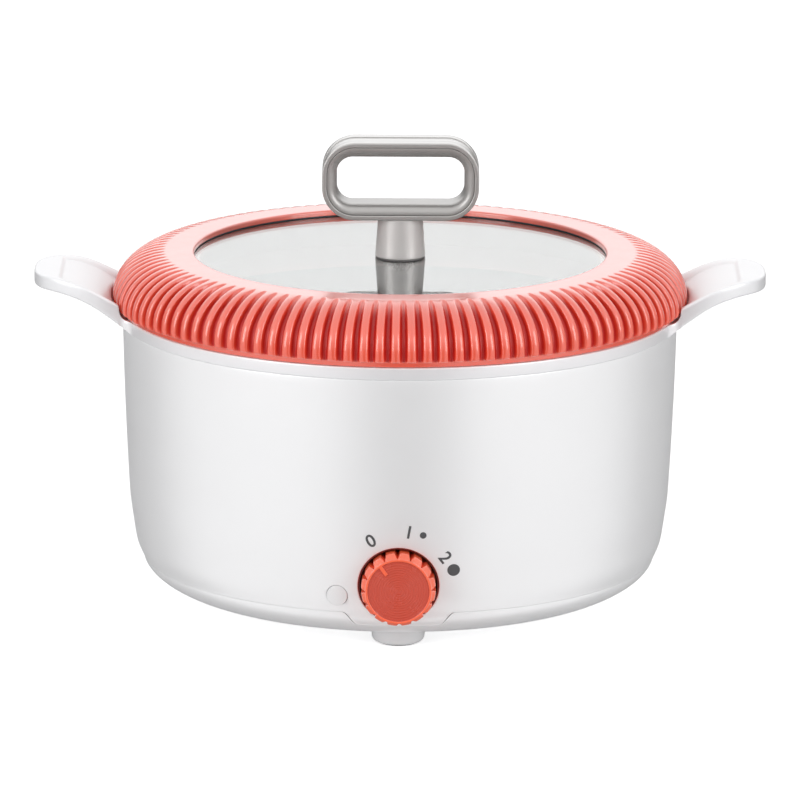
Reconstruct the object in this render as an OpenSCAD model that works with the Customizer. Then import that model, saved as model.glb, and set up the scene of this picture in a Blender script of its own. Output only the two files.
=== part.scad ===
// Round electric hot pot with a lift-off glass lid in a fluted ring.
// The pot stands on z = 0, its axis is Z and the control knob faces -Y. Sizes in millimetres.

/* [Body shell] */
// Width of the rim, from the pot's inside wall to the outside of the shell's top edge
rim_w = 16.6; // [15:0.1:19]
// Height of the shell from its lower seam to its top edge
shell_h = 124.4; // [118:0.1:132]
// Thickness of the shell wall
shell_wall = 2.5; // [1.8:0.1:3]
// How far the wall bulges outside a straight taper
shell_bulge = 0.5; // [0:0.1:1.5]
// How far the wall has drawn in at the waist
waist_in = 3.7; // [2:0.1:5]
// Height of the waist above the seam
waist_h = 30.6; // [26:0.1:36]
// Further draw-in at the start of the chamfer
tuck_in = 3.3; // [2:0.1:4.5]
// Height of the chamfer's upper edge above the seam
tuck_h = 7.6; // [6:0.1:10]
// Further draw-in at the seam
seam_in = 3.6; // [2.5:0.1:4.5]

/* [Front tab] */
// Half width of the tab's straight lower edge
tab_half_w = 20; // [19:0.5:24]
// Width of the S-shaped shoulder on each side of the tab
tab_shoulder = 8.6; // [6:0.1:11]
// How far the tab reaches below the seam
tab_drop = 7.7; // [7:0.1:9]
// Gap between the tab and the base pan
tab_gap = 0.3; // [0.2:0.05:0.5]

/* [Base pan and feet] */
// Height of the base pan's curved side below the seam
pan_h = 16.4; // [15.5:0.1:18]
// Wall thickness of the base pan
pan_wall = 2.5; // [2:0.1:3]
// Width of the pan's curved side, seen from below
pan_curve_w = 30; // [26:0.5:34]
// Squareness of the curved side, where 2 is an ellipse
pan_curve_power = 1.7; // [1.5:0.05:2]
// Height of the locating lip inside the shell
pan_lip_h = 4; // [3:0.5:6]
// Thickness of the locating lip
pan_lip_t = 2; // [1.5:0.1:2.5]
// Clearance between the lip and the shell
lip_gap = 0.3; // [0.2:0.05:0.5]
// Number of vent slots under the pan
vent_count = 18; // [12:1:24]
// Length of a vent slot
vent_l = 18; // [10:1:24]
// Width of a vent slot
vent_w = 2.6; // [2:0.1:3.5]
// Radius of the circle on which the vent slots lie
vent_circle_r = 46; // [40:1:52]
// Radius of a foot
foot_r = 14; // [12:0.5:16]
// Height of the feet below the pan
foot_h = 7; // [5:0.5:10]
// Distance of the feet's centres inside the seam
foot_inset = 34.5; // [32:0.5:42]
// Depth of the pocket in the pan that takes a foot
foot_pocket = 3; // [2:0.5:4]
// Radius of a rubber foot pad
pad_r = 10; // [8:0.5:11]
// How far a pad stands out below its foot
pad_out = 0.5; // [0.3:0.1:1]
// Thickness of a pad
pad_t = 2.5; // [2:0.1:3]

/* [Rim collar] */
// Height of the collar above the shell
collar_h = 6.5; // [6:0.1:8]
// How far the collar stands outside the shell
collar_step = 0.7; // [0.3:0.1:1.2]
// Width of the raised bead round the collar
bead_w = 6; // [5:0.1:7]
// Depth of the ledge inside the bead
ledge_drop = 2.8; // [2.4:0.1:3.5]
// Thickness of the collar's plate
collar_t = 2.5; // [2:0.1:3]
// Depth of the collar's skirts below its plate
skirt_h = 8; // [6:0.5:11]
// Clearance between the collar's bore and the pot wall
bore_gap = 1.2; // [0.8:0.1:2]

/* [Ear handles] */
// Reach of a handle beyond the shell's top radius
ear_reach = 46; // [38:0.2:52]
// Half width of a handle at its root
ear_half_w = 41; // [38:0.5:46]
// Length of the handle's plan outline, of which the inner part lies within the body
ear_plan_l = 70.6; // [66:0.2:76]
// Squareness of the handle's plan outline
ear_power = 3; // [2.4:0.05:3.4]
// Radius of the hollow corner between the handle's side and the collar
ear_corner_r = 8; // [4:0.5:12]
// Height of the handle's crest above the shell's top edge
ear_crest = 27.2; // [24:0.1:30]
// Distance of that crest from the handle's tip
ear_crest_in = 6.6; // [5:0.1:9]
// Thickness of the handle
ear_t = 7.3; // [6:0.1:8.5]
// Radius of the bend that the handle's underside follows from its crest
ear_bend_r = 52; // [46:0.5:60]
// Slope in degrees of the underside where it runs down to the collar
ear_slope = 34.5; // [28:0.5:38]
// Slope in degrees of the top face there
ear_top_slope = 27; // [22:0.5:30]
// Width of the raised border on top
ear_border = 6.6; // [4:0.1:8]
// Depth of the scoop between the borders at its outer end
ear_scoop = 1.2; // [0.8:0.1:2]
// Length of the flat thumb pad beyond the scoop
ear_pad_l = 14; // [10:0.5:18]

/* [Cooking pot] */
// Inside radius of the pot at its mouth
pot_r = 128; // [115:0.1:145]
// Inside depth of the pot
pot_depth = 88.2; // [85:0.1:89.5]
// Draw-in of the pot wall at the floor
pot_draft = 1.5; // [0.5:0.1:3]
// Inside radius of the corner at the floor
pot_corner_r = 20; // [16:0.5:26]
// Thickness of the pot wall
pot_wall = 1.8; // [1.4:0.1:2.4]
// Thickness of the pot floor
pot_floor = 2.5; // [2:0.1:3]
// Thickness of the pot's flange
flange_t = 1.2; // [1:0.1:1.8]

/* [Heater] */
// Distance of the heat plate's edge inside the pot's flat floor
plate_inset = 18.5; // [12:0.5:22]
// Thickness of the heat plate
plate_t = 6; // [5:0.1:7]
// Distance of the element's loop inside the heat plate's edge
element_inset = 26; // [22:0.5:32]
// Diameter of the element's tube
element_d = 6.6; // [6:0.1:7.5]
// Angle of the gap in the element's loop
element_gap = 30; // [26:1:40]
// Depth of the channel that holds the element
channel_d = 4; // [3:0.1:4.5]
// Length of the element's cold ends
terminal_l = 16; // [12:0.5:18]
// How far the heat shield reaches beyond the heat plate
shield_over = 12; // [8:0.5:14]
// Thickness of the heat shield
shield_t = 0.8; // [0.6:0.1:1.2]
// Height of the heat shield's rim
shield_rim = 5; // [3:0.5:6]
// Gap between the heat plate and the heat shield
shield_gap = 9.5; // [9:0.1:11]
// Distance of the support pillars inside the heat plate's edge
pillar_inset = 10; // [8:0.5:13]
// Radius of a pillar above its shoulder
pillar_r = 4; // [3.5:0.1:5]
// Extra radius of a pillar below its shoulder
pillar_step = 2; // [1.5:0.1:3]
// Radius of the tie screws
tie_r = 2; // [1.5:0.1:2.5]
// Radius of the limit thermostat
thermostat_r = 8.5; // [7:0.5:10]
// Height of the limit thermostat
thermostat_h = 8; // [6:0.5:8.5]
// Diameter of the thermal fuse
fuse_d = 5; // [4:0.1:6]
// Length of the thermal fuse
fuse_l = 18; // [12:0.5:22]

/* [Knob] */
// Height of the knob's axis above the pan
knob_h = 32; // [31:0.1:33]
// How far the knob's face stands out of the wall
knob_proud = 11; // [8:0.1:11.2]
// Length of the knob
knob_l = 23; // [20:0.1:25]
// Radius over the knob's teeth
knob_r = 19; // [17.5:0.1:19.4]
// Number of teeth
tooth_count = 16; // [12:1:20]
// Width of a tooth at its top
tooth_top_w = 4.7; // [3.5:0.1:5]
// Width of a tooth at its root
tooth_root_w = 6.3; // [5.2:0.1:6.5]
// Depth of the slope on the front of the teeth
tooth_slope = 4; // [3:0.1:6]
// Height of the teeth beyond the rim round the face
tooth_h = 2.1; // [1.6:0.1:3]
// Width of that rim
knob_rim_w = 1.2; // [0.8:0.1:1.6]
// Depth of the face below the rim
face_recess = 0.6; // [0.4:0.1:1]
// Thickness of the face disc
face_t = 1.2; // [0.8:0.1:1.6]
// Length of the pointer
pointer_l = 5.4; // [4:0.1:8]
// Width of the pointer
pointer_w = 1.8; // [1.2:0.1:2.4]
// Angle of the pointer to the left of upright at off
pointer_off_angle = 35.5; // [30:0.5:45]
// Clearance between the teeth and the socket's wall
knob_side_gap = 0.8; // [0.5:0.1:1.2]
// Wall thickness of the socket
socket_wall = 0.9; // [0.6:0.1:1]
// Thickness of the socket's floor
socket_floor = 2; // [1.6:0.1:2.6]
// How far the socket's edge lies inside the shell's face
socket_sink = 1.2; // [0.6:0.1:1.8]
// Gap between the knob and the socket's floor
knob_gap = 1.5; // [1:0.1:2.5]
// Radius of the switch shaft
shaft_r = 3; // [2.5:0.1:3.5]
// Running clearance of the shaft in its bush
shaft_gap = 0.1; // [0.05:0.01:0.1]
// Radius of the switch's threaded bush
bush_r = 5; // [4.5:0.1:6]
// Width of the switch body
switch_w = 26; // [22:0.5:28]
// Depth of the switch body
switch_l = 20; // [16:0.5:22]

/* [Pilot lamp] */
// Radius of the lens
lens_r = 5.5; // [4.5:0.1:6]
// Angle of the lens round the body from the knob
lens_angle = 13.1; // [12.7:0.1:16]
// Height of the lens above the pan
lens_h = 26; // [24:0.5:30]
// How far the lens stands out of the wall
lens_proud = 0.8; // [0.4:0.1:1.4]
// Length of the lens
lens_l = 6; // [5:0.5:8]
// Radius of the lamp behind the lens
lamp_r = 4; // [3:0.1:4.4]
// Length of the lamp
lamp_l = 12; // [8:0.5:14]

/* [Power inlet] */
// Width of the inlet's shroud
inlet_w = 29; // [27:0.5:33]
// Height of the inlet's shroud
inlet_h = 21; // [20:0.5:24]
// Length of the inlet's shroud
inlet_l = 22; // [19:0.5:26]
// Wall thickness of the shroud
inlet_wall = 2; // [1.5:0.1:2.4]
// Depth of the socket in the shroud
inlet_depth = 17; // [14:0.5:17.5]
// How far the shroud stands out of the wall
inlet_proud = 1; // [0.5:0.1:2]
// Spacing of the line pins
pin_pitch = 14; // [12:0.5:15]
// Width of a pin
pin_w = 2; // [1.6:0.1:2.6]
// Height of a pin
pin_h = 4; // [3.5:0.1:5]
// Length of a pin behind the shroud
pin_tail = 7; // [5:0.5:9]

/* [Lid ring] */
// How far the fluted ring reaches beyond the shell's top radius
ring_over = 5.4; // [4.9:0.1:7]
// Height of the ring
ring_h = 29.5; // [27:0.1:32]
// Height of the ring's widest line above its lower edge
ring_belly = 6; // [5:0.1:7]
// Width of the ring, from its widest line to the opening over the glass
ring_w = 42.5; // [40:0.1:48]
// Width of the curved flank, from its crown to the widest line
flank_w = 29; // [27:0.5:31]
// Thickness of the ring from its ridges to its inner face
ring_wall = 7; // [6:0.1:8]
// Distance of the ring's lower rebate inside its widest line
rebate_in = 10.5; // [9.5:0.1:11.5]
// Gap between the ring and the collar's bead
ring_gap = 0.5; // [0.3:0.1:0.8]
// Number of ribs round the ring
rib_count = 115; // [90:1:125]
// Depth of the flutes between the ribs
flute_d = 3.2; // [1.5:0.1:3.5]
// Gap between the ring and the ear handles
ear_gap = 0.8; // [0.6:0.1:1.4]

/* [Glass] */
// Thickness of the glass
glass_t = 4; // [3:0.1:5]
// Depth of the glass below the top of the ring
glass_drop = 3.3; // [3:0.1:4.5]
// Overlap of the ring on the glass
glass_lap = 8.7; // [7:0.1:9.5]
// Thickness of the seals
seal_t = 0.6; // [0.4:0.1:1]
// Thickness of the seal round the glass's edge
seal_edge = 2.2; // [1.6:0.1:2.6]
// Clearance between the lid's locating skirt and the pot's mouth
skirt_gap = 1; // [0.6:0.1:2]
// Depth of the locating skirt below the ring
skirt_drop = 8.8; // [6:0.1:12]
// Wall thickness of the retaining ring
retainer_t = 2.2; // [1.8:0.1:2.8]

/* [Lid handle] */
// Width of the loop
loop_w = 81.6; // [74:0.2:90]
// Height of the loop
loop_h = 40; // [36:0.2:44]
// Depth of the loop from front to back
loop_d = 24; // [21:0.2:27]
// Outside corner radius of the loop
loop_r = 14.5; // [13:0.1:17]
// Width of the outer frame on the loop's face
frame_w = 2.4; // [1.8:0.1:3]
// Width of the bevel between the frame and the hole
bevel_w = 5.2; // [4:0.1:6]
// Depth of that bevel
bevel_d = 5.5; // [4:0.1:7]
// Width of the middle band between the two frames
band_w = 10; // [8:0.2:12]
// Step of the band below the frames
band_step = 0.3; // [0.2:0.1:0.6]
// Height of the stem
stem_h = 21.7; // [18:0.1:26]
// Radius of the stem at its foot
stem_foot_r = 13.1; // [12:0.1:15]
// Radius of the stem at its top
stem_top_r = 11.5; // [10:0.1:13]
// Radius of the handle screw
screw_r = 3; // [2.5:0.1:3.5]
// Radius of the clamp washer
washer_r = 11; // [9:0.1:13]
// Thickness of the clamp washer
washer_t = 1.5; // [1:0.1:2]

/* [Hidden] */
$fn = 96;
eps = 0.01;

// Heights, from the table upwards
seam_z = foot_h + pan_h;
shell_top_z = seam_z + shell_h;
collar_top_z = shell_top_z + collar_h;
ledge_z = collar_top_z - ledge_drop;
flange_z = ledge_z + flange_t;
pot_floor_z = flange_z - pot_depth;
plate_z = pot_floor_z - pot_floor - plate_t;
shield_z = plate_z - shield_gap - shield_t;
ring_z = collar_top_z + ring_gap;
belly_z = ring_z + ring_belly;
ring_top_z = ring_z + ring_h;
glass_z = ring_top_z - glass_drop - glass_t;
pan_floor_z = foot_h + pan_wall;
knob_z = foot_h + knob_h;
lens_z = foot_h + lens_h;
loop_z = glass_z + glass_t + seal_t + stem_h;

// Radii of the shell, from the top down
shell_top_r = pot_r + rim_w;
waist_r = shell_top_r - waist_in;
tuck_r = waist_r - tuck_in;
seam_r = tuck_r - seam_in;
wall_steps = 24;
collar_r = shell_top_r + collar_step;
bead_in_r = collar_r - bead_w;
bore_r = pot_r + pot_wall + bore_gap;
flange_gap = 0.5;
flange_r = bead_in_r - flange_gap;
foot_circle_r = seam_r - foot_inset;

// Radii of the heater, from the pot's flat floor inwards
pot_flat_r = pot_r - pot_draft - pot_corner_r;
plate_r = pot_flat_r - plate_inset;
element_r = plate_r - element_inset;
shield_r = plate_r + shield_over;
pillar_circle_r = plate_r - pillar_inset;

// Height or length that reaches past any piece
past = 2 * shell_h;
// Clearance of screws and pillars in their holes
hole_gap = 0.2;

// Outline of the shell's outer face, from the seam to the top edge
shell_line = concat(
    [[seam_r, seam_z], [tuck_r, seam_z + tuck_h]],
    [for (i = [0:wall_steps]) let (t = i / wall_steps) [
        waist_r + waist_in * t + shell_bulge * 4 * t * (1 - t),
        seam_z + waist_h + (shell_h - waist_h) * t
    ]]
);

// Outline of the pan's curved side, from its flat underside to the seam
pan_steps = 36;
pan_flat_r = seam_r - pan_curve_w;
pan_line = [for (i = [0:pan_steps]) let (a = 90 * i / pan_steps) [
    pan_flat_r + pan_curve_w * pow(sin(a), 2 / pan_curve_power),
    seam_z - pan_h * pow(cos(a), 2 / pan_curve_power)
]];

function shell_r(z) = lookup(z, [for (p = shell_line) [p.y, p.x]]);
function pan_side_r(z) = lookup(z, [for (p = pan_line) [p.y, p.x]]);
function moved(line, dr, dz = 0) = [for (p = line) [p.x + dr, p.y + dz]];
function reversed(line) = [for (i = [len(line) - 1:-1:0]) line[i]];
function rounded_step(t) = (1 - cos(180 * t)) / 2;

// Faces of a closed skin: sector by sector between two rings of vertices, of which either may
// have several vertices to a sector. Each ring is given as [first index, vertices per sector].
function band_faces(a, b, sectors) =
    a[1] == b[1]
    ? [for (i = [0:sectors * a[1] - 1]) let (n = sectors * a[1], j = (i + 1) % n)
        each [[a[0] + i, b[0] + i, b[0] + j], [a[0] + i, b[0] + j, a[0] + j]]]
    : a[1] < b[1]
    ? [for (i = [0:sectors - 1]) let (n = sectors * b[1]) each concat(
        [for (k = [0:b[1] - 1]) [a[0] + i, b[0] + i * b[1] + k, b[0] + (i * b[1] + k + 1) % n]],
        [[a[0] + i, b[0] + (i + 1) * b[1] % n, a[0] + (i + 1) % sectors]])]
    : [for (f = band_faces(b, a, sectors)) [f[2], f[1], f[0]]];

// A closed skin through a cycle of vertex rings, each [vertices per sector, list of points]
module ring_skin(rings, sectors) {
    count = len(rings);
    first = [for (k = 0, sum = 0; k < count; sum = sum + len(rings[k][1]), k = k + 1) sum];
    polyhedron(
        points = [for (ring = rings) each ring[1]],
        faces = [for (k = [0:count - 1]) let (m = (k + 1) % count)
            each band_faces([first[k], rings[k][0]], [first[m], rings[m][0]], sectors)],
        convexity = 10
    );
}

module at_angles(angles) {
    for (a = angles) rotate([0, 0, a]) children();
}

// Local +Z points out of the body's front, and local +Y stays up
module at_front(z) {
    translate([0, 0, z]) rotate([90, 0, 0]) children();
}

// Local +Z points out of the body's back
module at_back(z) {
    translate([0, 0, z]) rotate([90, 0, 180]) children();
}

module tube(r_out, r_in, h) {
    difference() {
        cylinder(r = r_out, h = h);
        translate([0, 0, -1]) cylinder(r = r_in, h = h + 2);
    }
}

module rounded_bar(w, h, l, r) {
    linear_extrude(l) union() {
        square([w - 2 * r, h], center = true);
        square([w, h - 2 * r], center = true);
        for (x = [-1, 1], y = [-1, 1])
            translate([x * (w / 2 - r), y * (h / 2 - r)]) circle(r = r, $fn = 32);
    }
}

// ---- Body shell and base pan

// The tab's outline seen from the front, with its shoulders, grown by a gap
module tab_outline(grow) {
    steps = 10;
    top = seam_z + pan_lip_h + 1;
    side = [for (i = [0:steps]) let (t = i / steps) [
        tab_half_w + grow + tab_shoulder * t,
        seam_z - tab_drop * (1 - rounded_step(t))
    ]];
    polygon(concat(
        side,
        [[tab_half_w + grow + tab_shoulder, top], [-tab_half_w - grow - tab_shoulder, top]],
        [for (p = reversed(side)) [-p.x, p.y]]
    ));
}

module tab_block(grow) {
    at_front(0) linear_extrude(shell_top_r) tab_outline(grow);
}

// Wall of the shell, carried down over the pan's curve as far as the tab reaches
module shell_wall_form() {
    tab_z = seam_z - tab_drop;
    below = [for (p = pan_line) if (p.y > tab_z && p.y < seam_z) p];
    line = concat([[pan_side_r(tab_z), tab_z]], below, shell_line);
    rotate_extrude() polygon(concat(line, reversed(moved(line, -shell_wall))));
}

socket_r = knob_r + knob_side_gap + socket_wall;
inlet_z = knob_z;
inlet_front = shell_r(inlet_z) + inlet_proud;

module outer_shell() color("whitesmoke") {
    difference() {
        intersection() {
            shell_wall_form();
            union() {
                translate([0, 0, seam_z]) cylinder(r = past, h = shell_h);
                tab_block(0);
            }
        }
        at_front(knob_z) cylinder(r = socket_r, h = past);
        rotate([0, 0, -lens_angle]) at_front(lens_z) cylinder(r = lens_r, h = past);
        at_back(inlet_z) rounded_bar(inlet_w, inlet_h, past, inlet_wall);
    }
}

tie_angles = [90, 210, 330];
foot_angles = [270, 30, 150];
tie_head_r = tie_r * 2;
tie_sink = 1.2;
// Metal left above the ends of the tie screws
tie_end = 2;

module pan_form() {
    lip_r = seam_r - shell_wall - lip_gap;
    inside = [for (p = moved(pan_line, -pan_wall, pan_wall)) if (p.y < seam_z && p.x < lip_r - pan_lip_t) p];
    rotate_extrude() polygon(concat(
        [[0, foot_h]],
        pan_line,
        [[lip_r, seam_z], [lip_r, seam_z + pan_lip_h], [lip_r - pan_lip_t, seam_z + pan_lip_h],
         [lip_r - pan_lip_t, seam_z - 1]],
        reversed(inside),
        [[0, pan_floor_z]]
    ));
}

// All the room above the pan's underside
module pan_room() {
    rotate_extrude() polygon(concat([[0, foot_h]], pan_line, [[seam_r, shell_top_z], [0, shell_top_z]]));
}

module base_pan() color("whitesmoke") {
    boss_r = foot_r + pan_wall;
    boss_h = foot_pocket + pan_wall;
    inlet_foot_z = inlet_z - inlet_h / 2;
    post_t = 4;
    difference() {
        union() {
            pan_form();
            intersection() {
                pan_room();
                union() {
                    at_angles(foot_angles) translate([foot_circle_r, 0, 0]) cylinder(r = boss_r, h = foot_h + boss_h);
                    translate([-inlet_w / 4, inlet_front - inlet_l, 0]) cube([inlet_w / 2, post_t, inlet_foot_z]);
                }
            }
        }
        difference() {
            tab_block(tab_gap);
            translate([0, 0, seam_z - tab_drop - 1]) cylinder(r = pan_flat_r, h = past);
        }
        at_angles(foot_angles) translate([foot_circle_r, 0, 0]) {
            cylinder(r = foot_r, h = foot_h + foot_pocket);
            cylinder(r = foot_screw_r, h = past);
        }
        at_angles(tie_angles) translate([pillar_circle_r, 0, 0]) {
            cylinder(r = tie_r + hole_gap, h = past);
            cylinder(r = tie_head_r + 2 * hole_gap, h = foot_h + tie_sink);
        }
        at_angles([for (i = [0:vent_count - 1]) i * 360 / vent_count])
            translate([vent_circle_r - vent_l / 2, -vent_w / 2, foot_h - 1]) cube([vent_l, vent_w, pan_wall + 2]);
    }
}

foot_screw_r = 1.6;
foot_screw_l = 7;

// One foot: a short drum with a rounded lower edge, a recess for its pad and a screw bore
module foot() {
    top = foot_h + foot_pocket;
    edge = 3.2;
    side = [for (i = [0:12]) let (a = 90 * i / 12) [
        foot_r - 0.4 - edge * (1 - sin(a)),
        pad_out + edge * (1 - cos(a))
    ]];
    difference() {
        rotate_extrude() polygon(concat([[0, pad_out]], side, [[foot_r, foot_h], [foot_r, top], [0, top]]));
        cylinder(r = pad_r, h = pad_t);
        translate([0, 0, top - foot_screw_l]) cylinder(r = foot_screw_r, h = foot_screw_l + 1);
    }
}

module foot_at(angle) {
    rotate([0, 0, angle]) translate([foot_circle_r, 0, 0]) foot();
}

module foot_front() color("gainsboro") foot_at(foot_angles[0]);
module foot_right() color("gainsboro") foot_at(foot_angles[1]);
module foot_left() color("gainsboro") foot_at(foot_angles[2]);

module foot_pads() color("dimgray") {
    at_angles(foot_angles) translate([foot_circle_r, 0, 0]) cylinder(r = pad_r, h = pad_t);
}

module foot_screws() color("silver") {
    boss_top = foot_h + foot_pocket + pan_wall;
    at_angles(foot_angles) translate([foot_circle_r, 0, boss_top]) {
        cylinder(r = foot_screw_r * 2, h = 2);
        translate([0, 0, -pan_wall - foot_screw_l]) cylinder(r = foot_screw_r, h = pan_wall + foot_screw_l + 1);
    }
}

// ---- Rim collar with two ear handles

ear_lap = 1.5;
ear_tip_x = shell_top_r + ear_reach;
ear_crest_x = ear_tip_x - ear_crest_in;
ear_plan_x = ear_tip_x - ear_plan_l;
ear_top_z = shell_top_z + ear_crest;
ear_root_x = sqrt(pow(collar_r - 2 * ear_lap, 2) - pow(ear_half_w, 2));
ear_side_w = 2 * (ear_half_w + ear_corner_r);

// Fall of a handle's face at x below its crest: an arc that runs out in a straight slope
function ear_fall(x, r, slope) =
    let (d = max(0, ear_crest_x - x), arc = r * sin(slope))
    d < arc ? r - sqrt(r * r - d * d) : r * (1 - cos(slope)) + (d - arc) * tan(slope);

function ear_face(crest, r, slope, steps = 14) = [
    for (i = [0:steps]) let (x = ear_root_x + (ear_crest_x - ear_root_x) * i / steps)
        [x, crest - ear_fall(x, r, slope)]
];

module ear_side() {
    fall = 0.3;
    corner = 1.6;
    tip = [[ear_tip_x - corner, ear_top_z - fall], [ear_tip_x - 0.5, ear_top_z - 0.8],
        [ear_tip_x, ear_top_z - corner], [ear_tip_x, ear_top_z - ear_t + corner],
        [ear_tip_x - 0.5, ear_top_z - ear_t + 0.6], [ear_tip_x - corner, ear_top_z - ear_t]];
    polygon(concat(
        ear_face(ear_top_z, ear_bend_r + ear_t, ear_top_slope), tip,
        reversed(ear_face(ear_top_z - ear_t, ear_bend_r, ear_slope))
    ));
}

// Half width of the plan outline at x: a superellipse that narrows from the root to a round tip
function ear_half(x) = ear_half_w * pow(1 - pow((x - ear_plan_x) / ear_plan_l, ear_power), 1 / ear_power);

module ear_plan(inset, x_end) {
    steps = 24;
    reach = ear_plan_l - inset;
    half = ear_half_w - inset;
    intersection() {
        polygon([for (i = [-steps:steps]) let (a = 90 * i / steps) [
            ear_plan_x + reach * pow(cos(a), 2 / ear_power),
            half * sign(a) * pow(abs(sin(a)), 2 / ear_power)
        ]]);
        translate([ear_plan_x, -half]) square([x_end - ear_plan_x, 2 * half]);
    }
}

// Hollow corner between the handle's side, at its half width, and the collar
module ear_corner() {
    steps = 6;
    r = ear_corner_r;
    half = ear_half(collar_r);
    y = half + r;
    x = sqrt(pow(collar_r + r, 2) - y * y);
    end = atan2(y, x);
    inner = collar_r - 2 * ear_lap;
    polygon(concat(
        [[x, half - 2 * ear_lap], [ear_root_x, half - 2 * ear_lap], [inner * cos(end), inner * sin(end)]],
        [for (i = [0:steps]) let (a = 180 + end + (90 - end) * i / steps) [x + r * cos(a), y + r * sin(a)]]
    ));
}

module ear() {
    // The scoop's floor runs level with the underside, so it deepens towards the root
    difference() {
        intersection() {
            rotate([90, 0, 0]) linear_extrude(ear_side_w, center = true) ear_side();
            translate([0, 0, shell_top_z]) linear_extrude(ear_crest + 1) union() {
                ear_plan(0, ear_tip_x + 1);
                ear_corner();
                mirror([0, 1]) ear_corner();
            }
        }
        intersection() {
            rotate([90, 0, 0]) linear_extrude(ear_side_w, center = true)
                polygon(concat(
                    ear_face(ear_top_z - ear_scoop, ear_bend_r, ear_slope),
                    [[ear_tip_x, ear_top_z - ear_scoop], [ear_tip_x, ear_top_z + 5], [ear_root_x, ear_top_z + 5]]
                ));
            translate([0, 0, shell_top_z]) linear_extrude(ear_crest + 9)
                ear_plan(ear_border, ear_tip_x - ear_pad_l);
        }
    }
}

module collar_ring() {
    lip = 0.6;
    skirt_out_r = shell_top_r - shell_wall - lip_gap;
    skirt_z = ledge_z - collar_t - skirt_h;
    plate_z = ledge_z - collar_t;
    rotate_extrude() polygon([
        [bore_r, ledge_z], [bead_in_r, ledge_z], [bead_in_r, collar_top_z - lip],
        [bead_in_r + lip, collar_top_z], [collar_r - 2 * lip, collar_top_z], [collar_r - lip, collar_top_z - lip / 2],
        [collar_r, collar_top_z - 2 * lip], [collar_r, shell_top_z + lip], [collar_r - lip, shell_top_z],
        [skirt_out_r, shell_top_z], [skirt_out_r, skirt_z], [skirt_out_r - collar_t, skirt_z],
        [skirt_out_r - collar_t, plate_z], [bore_r + collar_t, plate_z],
        [bore_r + collar_t, skirt_z], [bore_r, skirt_z]
    ]);
}

// Space kept free round the lid's ring, following its underside
module ring_clearance() {
    low = ring_low(8);
    rotate_extrude() polygon(concat(
        [[0, ring_z - ring_gap], [low[0].x, ring_z - ring_gap]],
        moved(low, ear_gap),
        [[ring_r + ear_gap, ring_top_z + past], [0, ring_top_z + past]]
    ));
}

module rim_collar() color("white") {
    union() {
        collar_ring();
        difference() {
            union() {
                ear();
                mirror([1, 0, 0]) ear();
            }
            ring_clearance();
            translate([0, 0, shell_top_z - 1]) cylinder(r = collar_r - ear_lap, h = past);
        }
    }
}

// ---- Cooking pot and heater

module inner_pot() color("linen") {
    steps = 16;
    corner = [for (i = [0:steps]) let (a = 90 * i / steps) [
        pot_flat_r + pot_corner_r * sin(a), pot_floor_z + pot_corner_r * (1 - cos(a))
    ]];
    outer = [for (i = [0:steps]) let (a = 90 * i / steps) [
        pot_flat_r + (pot_corner_r + pot_wall) * sin(a),
        pot_floor_z - pot_floor + (pot_corner_r + pot_floor) * (1 - cos(a))
    ]];
    mouth = 1.5;
    rotate_extrude() polygon(concat(
        [[0, pot_floor_z]], corner,
        [[pot_r, flange_z - mouth], [pot_r + 0.5, flange_z - 0.4], [pot_r + mouth, flange_z],
         [flange_r, flange_z], [flange_r, ledge_z], [pot_r + pot_wall + 0.6, ledge_z],
         [pot_r + pot_wall, ledge_z - 1]],
        reversed(outer),
        [[0, pot_floor_z - pot_floor]]
    ));
}

element_ends = [270 - element_gap / 2, 270 + element_gap / 2];
element_z = plate_z + channel_d - element_d / 2;
element_bend = 6;
crimp_t = 0.15;
crimp_l = 3;
terminal_pin = 4;
// Where a cold end points down, measured along the loop and out from its middle plane
cold_x = element_r * sin(element_gap / 2) - element_bend * cos(element_gap / 2);
cold_y = -element_r * cos(element_gap / 2) - element_bend * sin(element_gap / 2);
cold_z = element_z - element_bend - terminal_l - terminal_pin;

module heat_plate() color("silver") {
    channel_w = element_d + 2 * hole_gap;
    difference() {
        translate([0, 0, plate_z]) cylinder(r = plate_r, h = plate_t);
        translate([0, 0, plate_z - 1]) tube(element_r + channel_w / 2, element_r - channel_w / 2, channel_d + 1);
        at_angles(tie_angles) translate([pillar_circle_r, 0, plate_z - 1]) cylinder(r = tie_r, h = plate_t + 1 - tie_end);
    }
}

// One cold end: a crimped sleeve over the joint with the loop, a quarter bend out of the loop's
// plane, a straight sheath and its terminal. It turns towards local +Y where side is 1, and
// towards -Y where side is -1.
module cold_end(side) {
    rotate([90, 0, 0]) cylinder(d = element_d + 2 * crimp_t, h = crimp_l, center = true);
    translate([0, 0, -element_bend]) rotate([0, -90, 0]) rotate([0, 0, side > 0 ? 0 : -90])
        rotate_extrude(angle = 90) translate([element_bend, 0]) circle(d = element_d);
    translate([0, side * element_bend, -element_bend - terminal_l]) {
        cylinder(d = element_d, h = terminal_l);
        translate([0, 0, -terminal_pin]) cylinder(d = element_d / 2, h = terminal_pin);
    }
}

module heating_element() color("slategray") {
    translate([0, 0, element_z]) union() {
        rotate([0, 0, element_ends[1]]) rotate_extrude(angle = 360 - element_gap)
            translate([element_r, 0]) circle(d = element_d);
        rotate([0, 0, element_ends[0]]) translate([element_r, 0, 0]) cold_end(1);
        rotate([0, 0, element_ends[1]]) translate([element_r, 0, 0]) cold_end(-1);
    }
}

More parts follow.
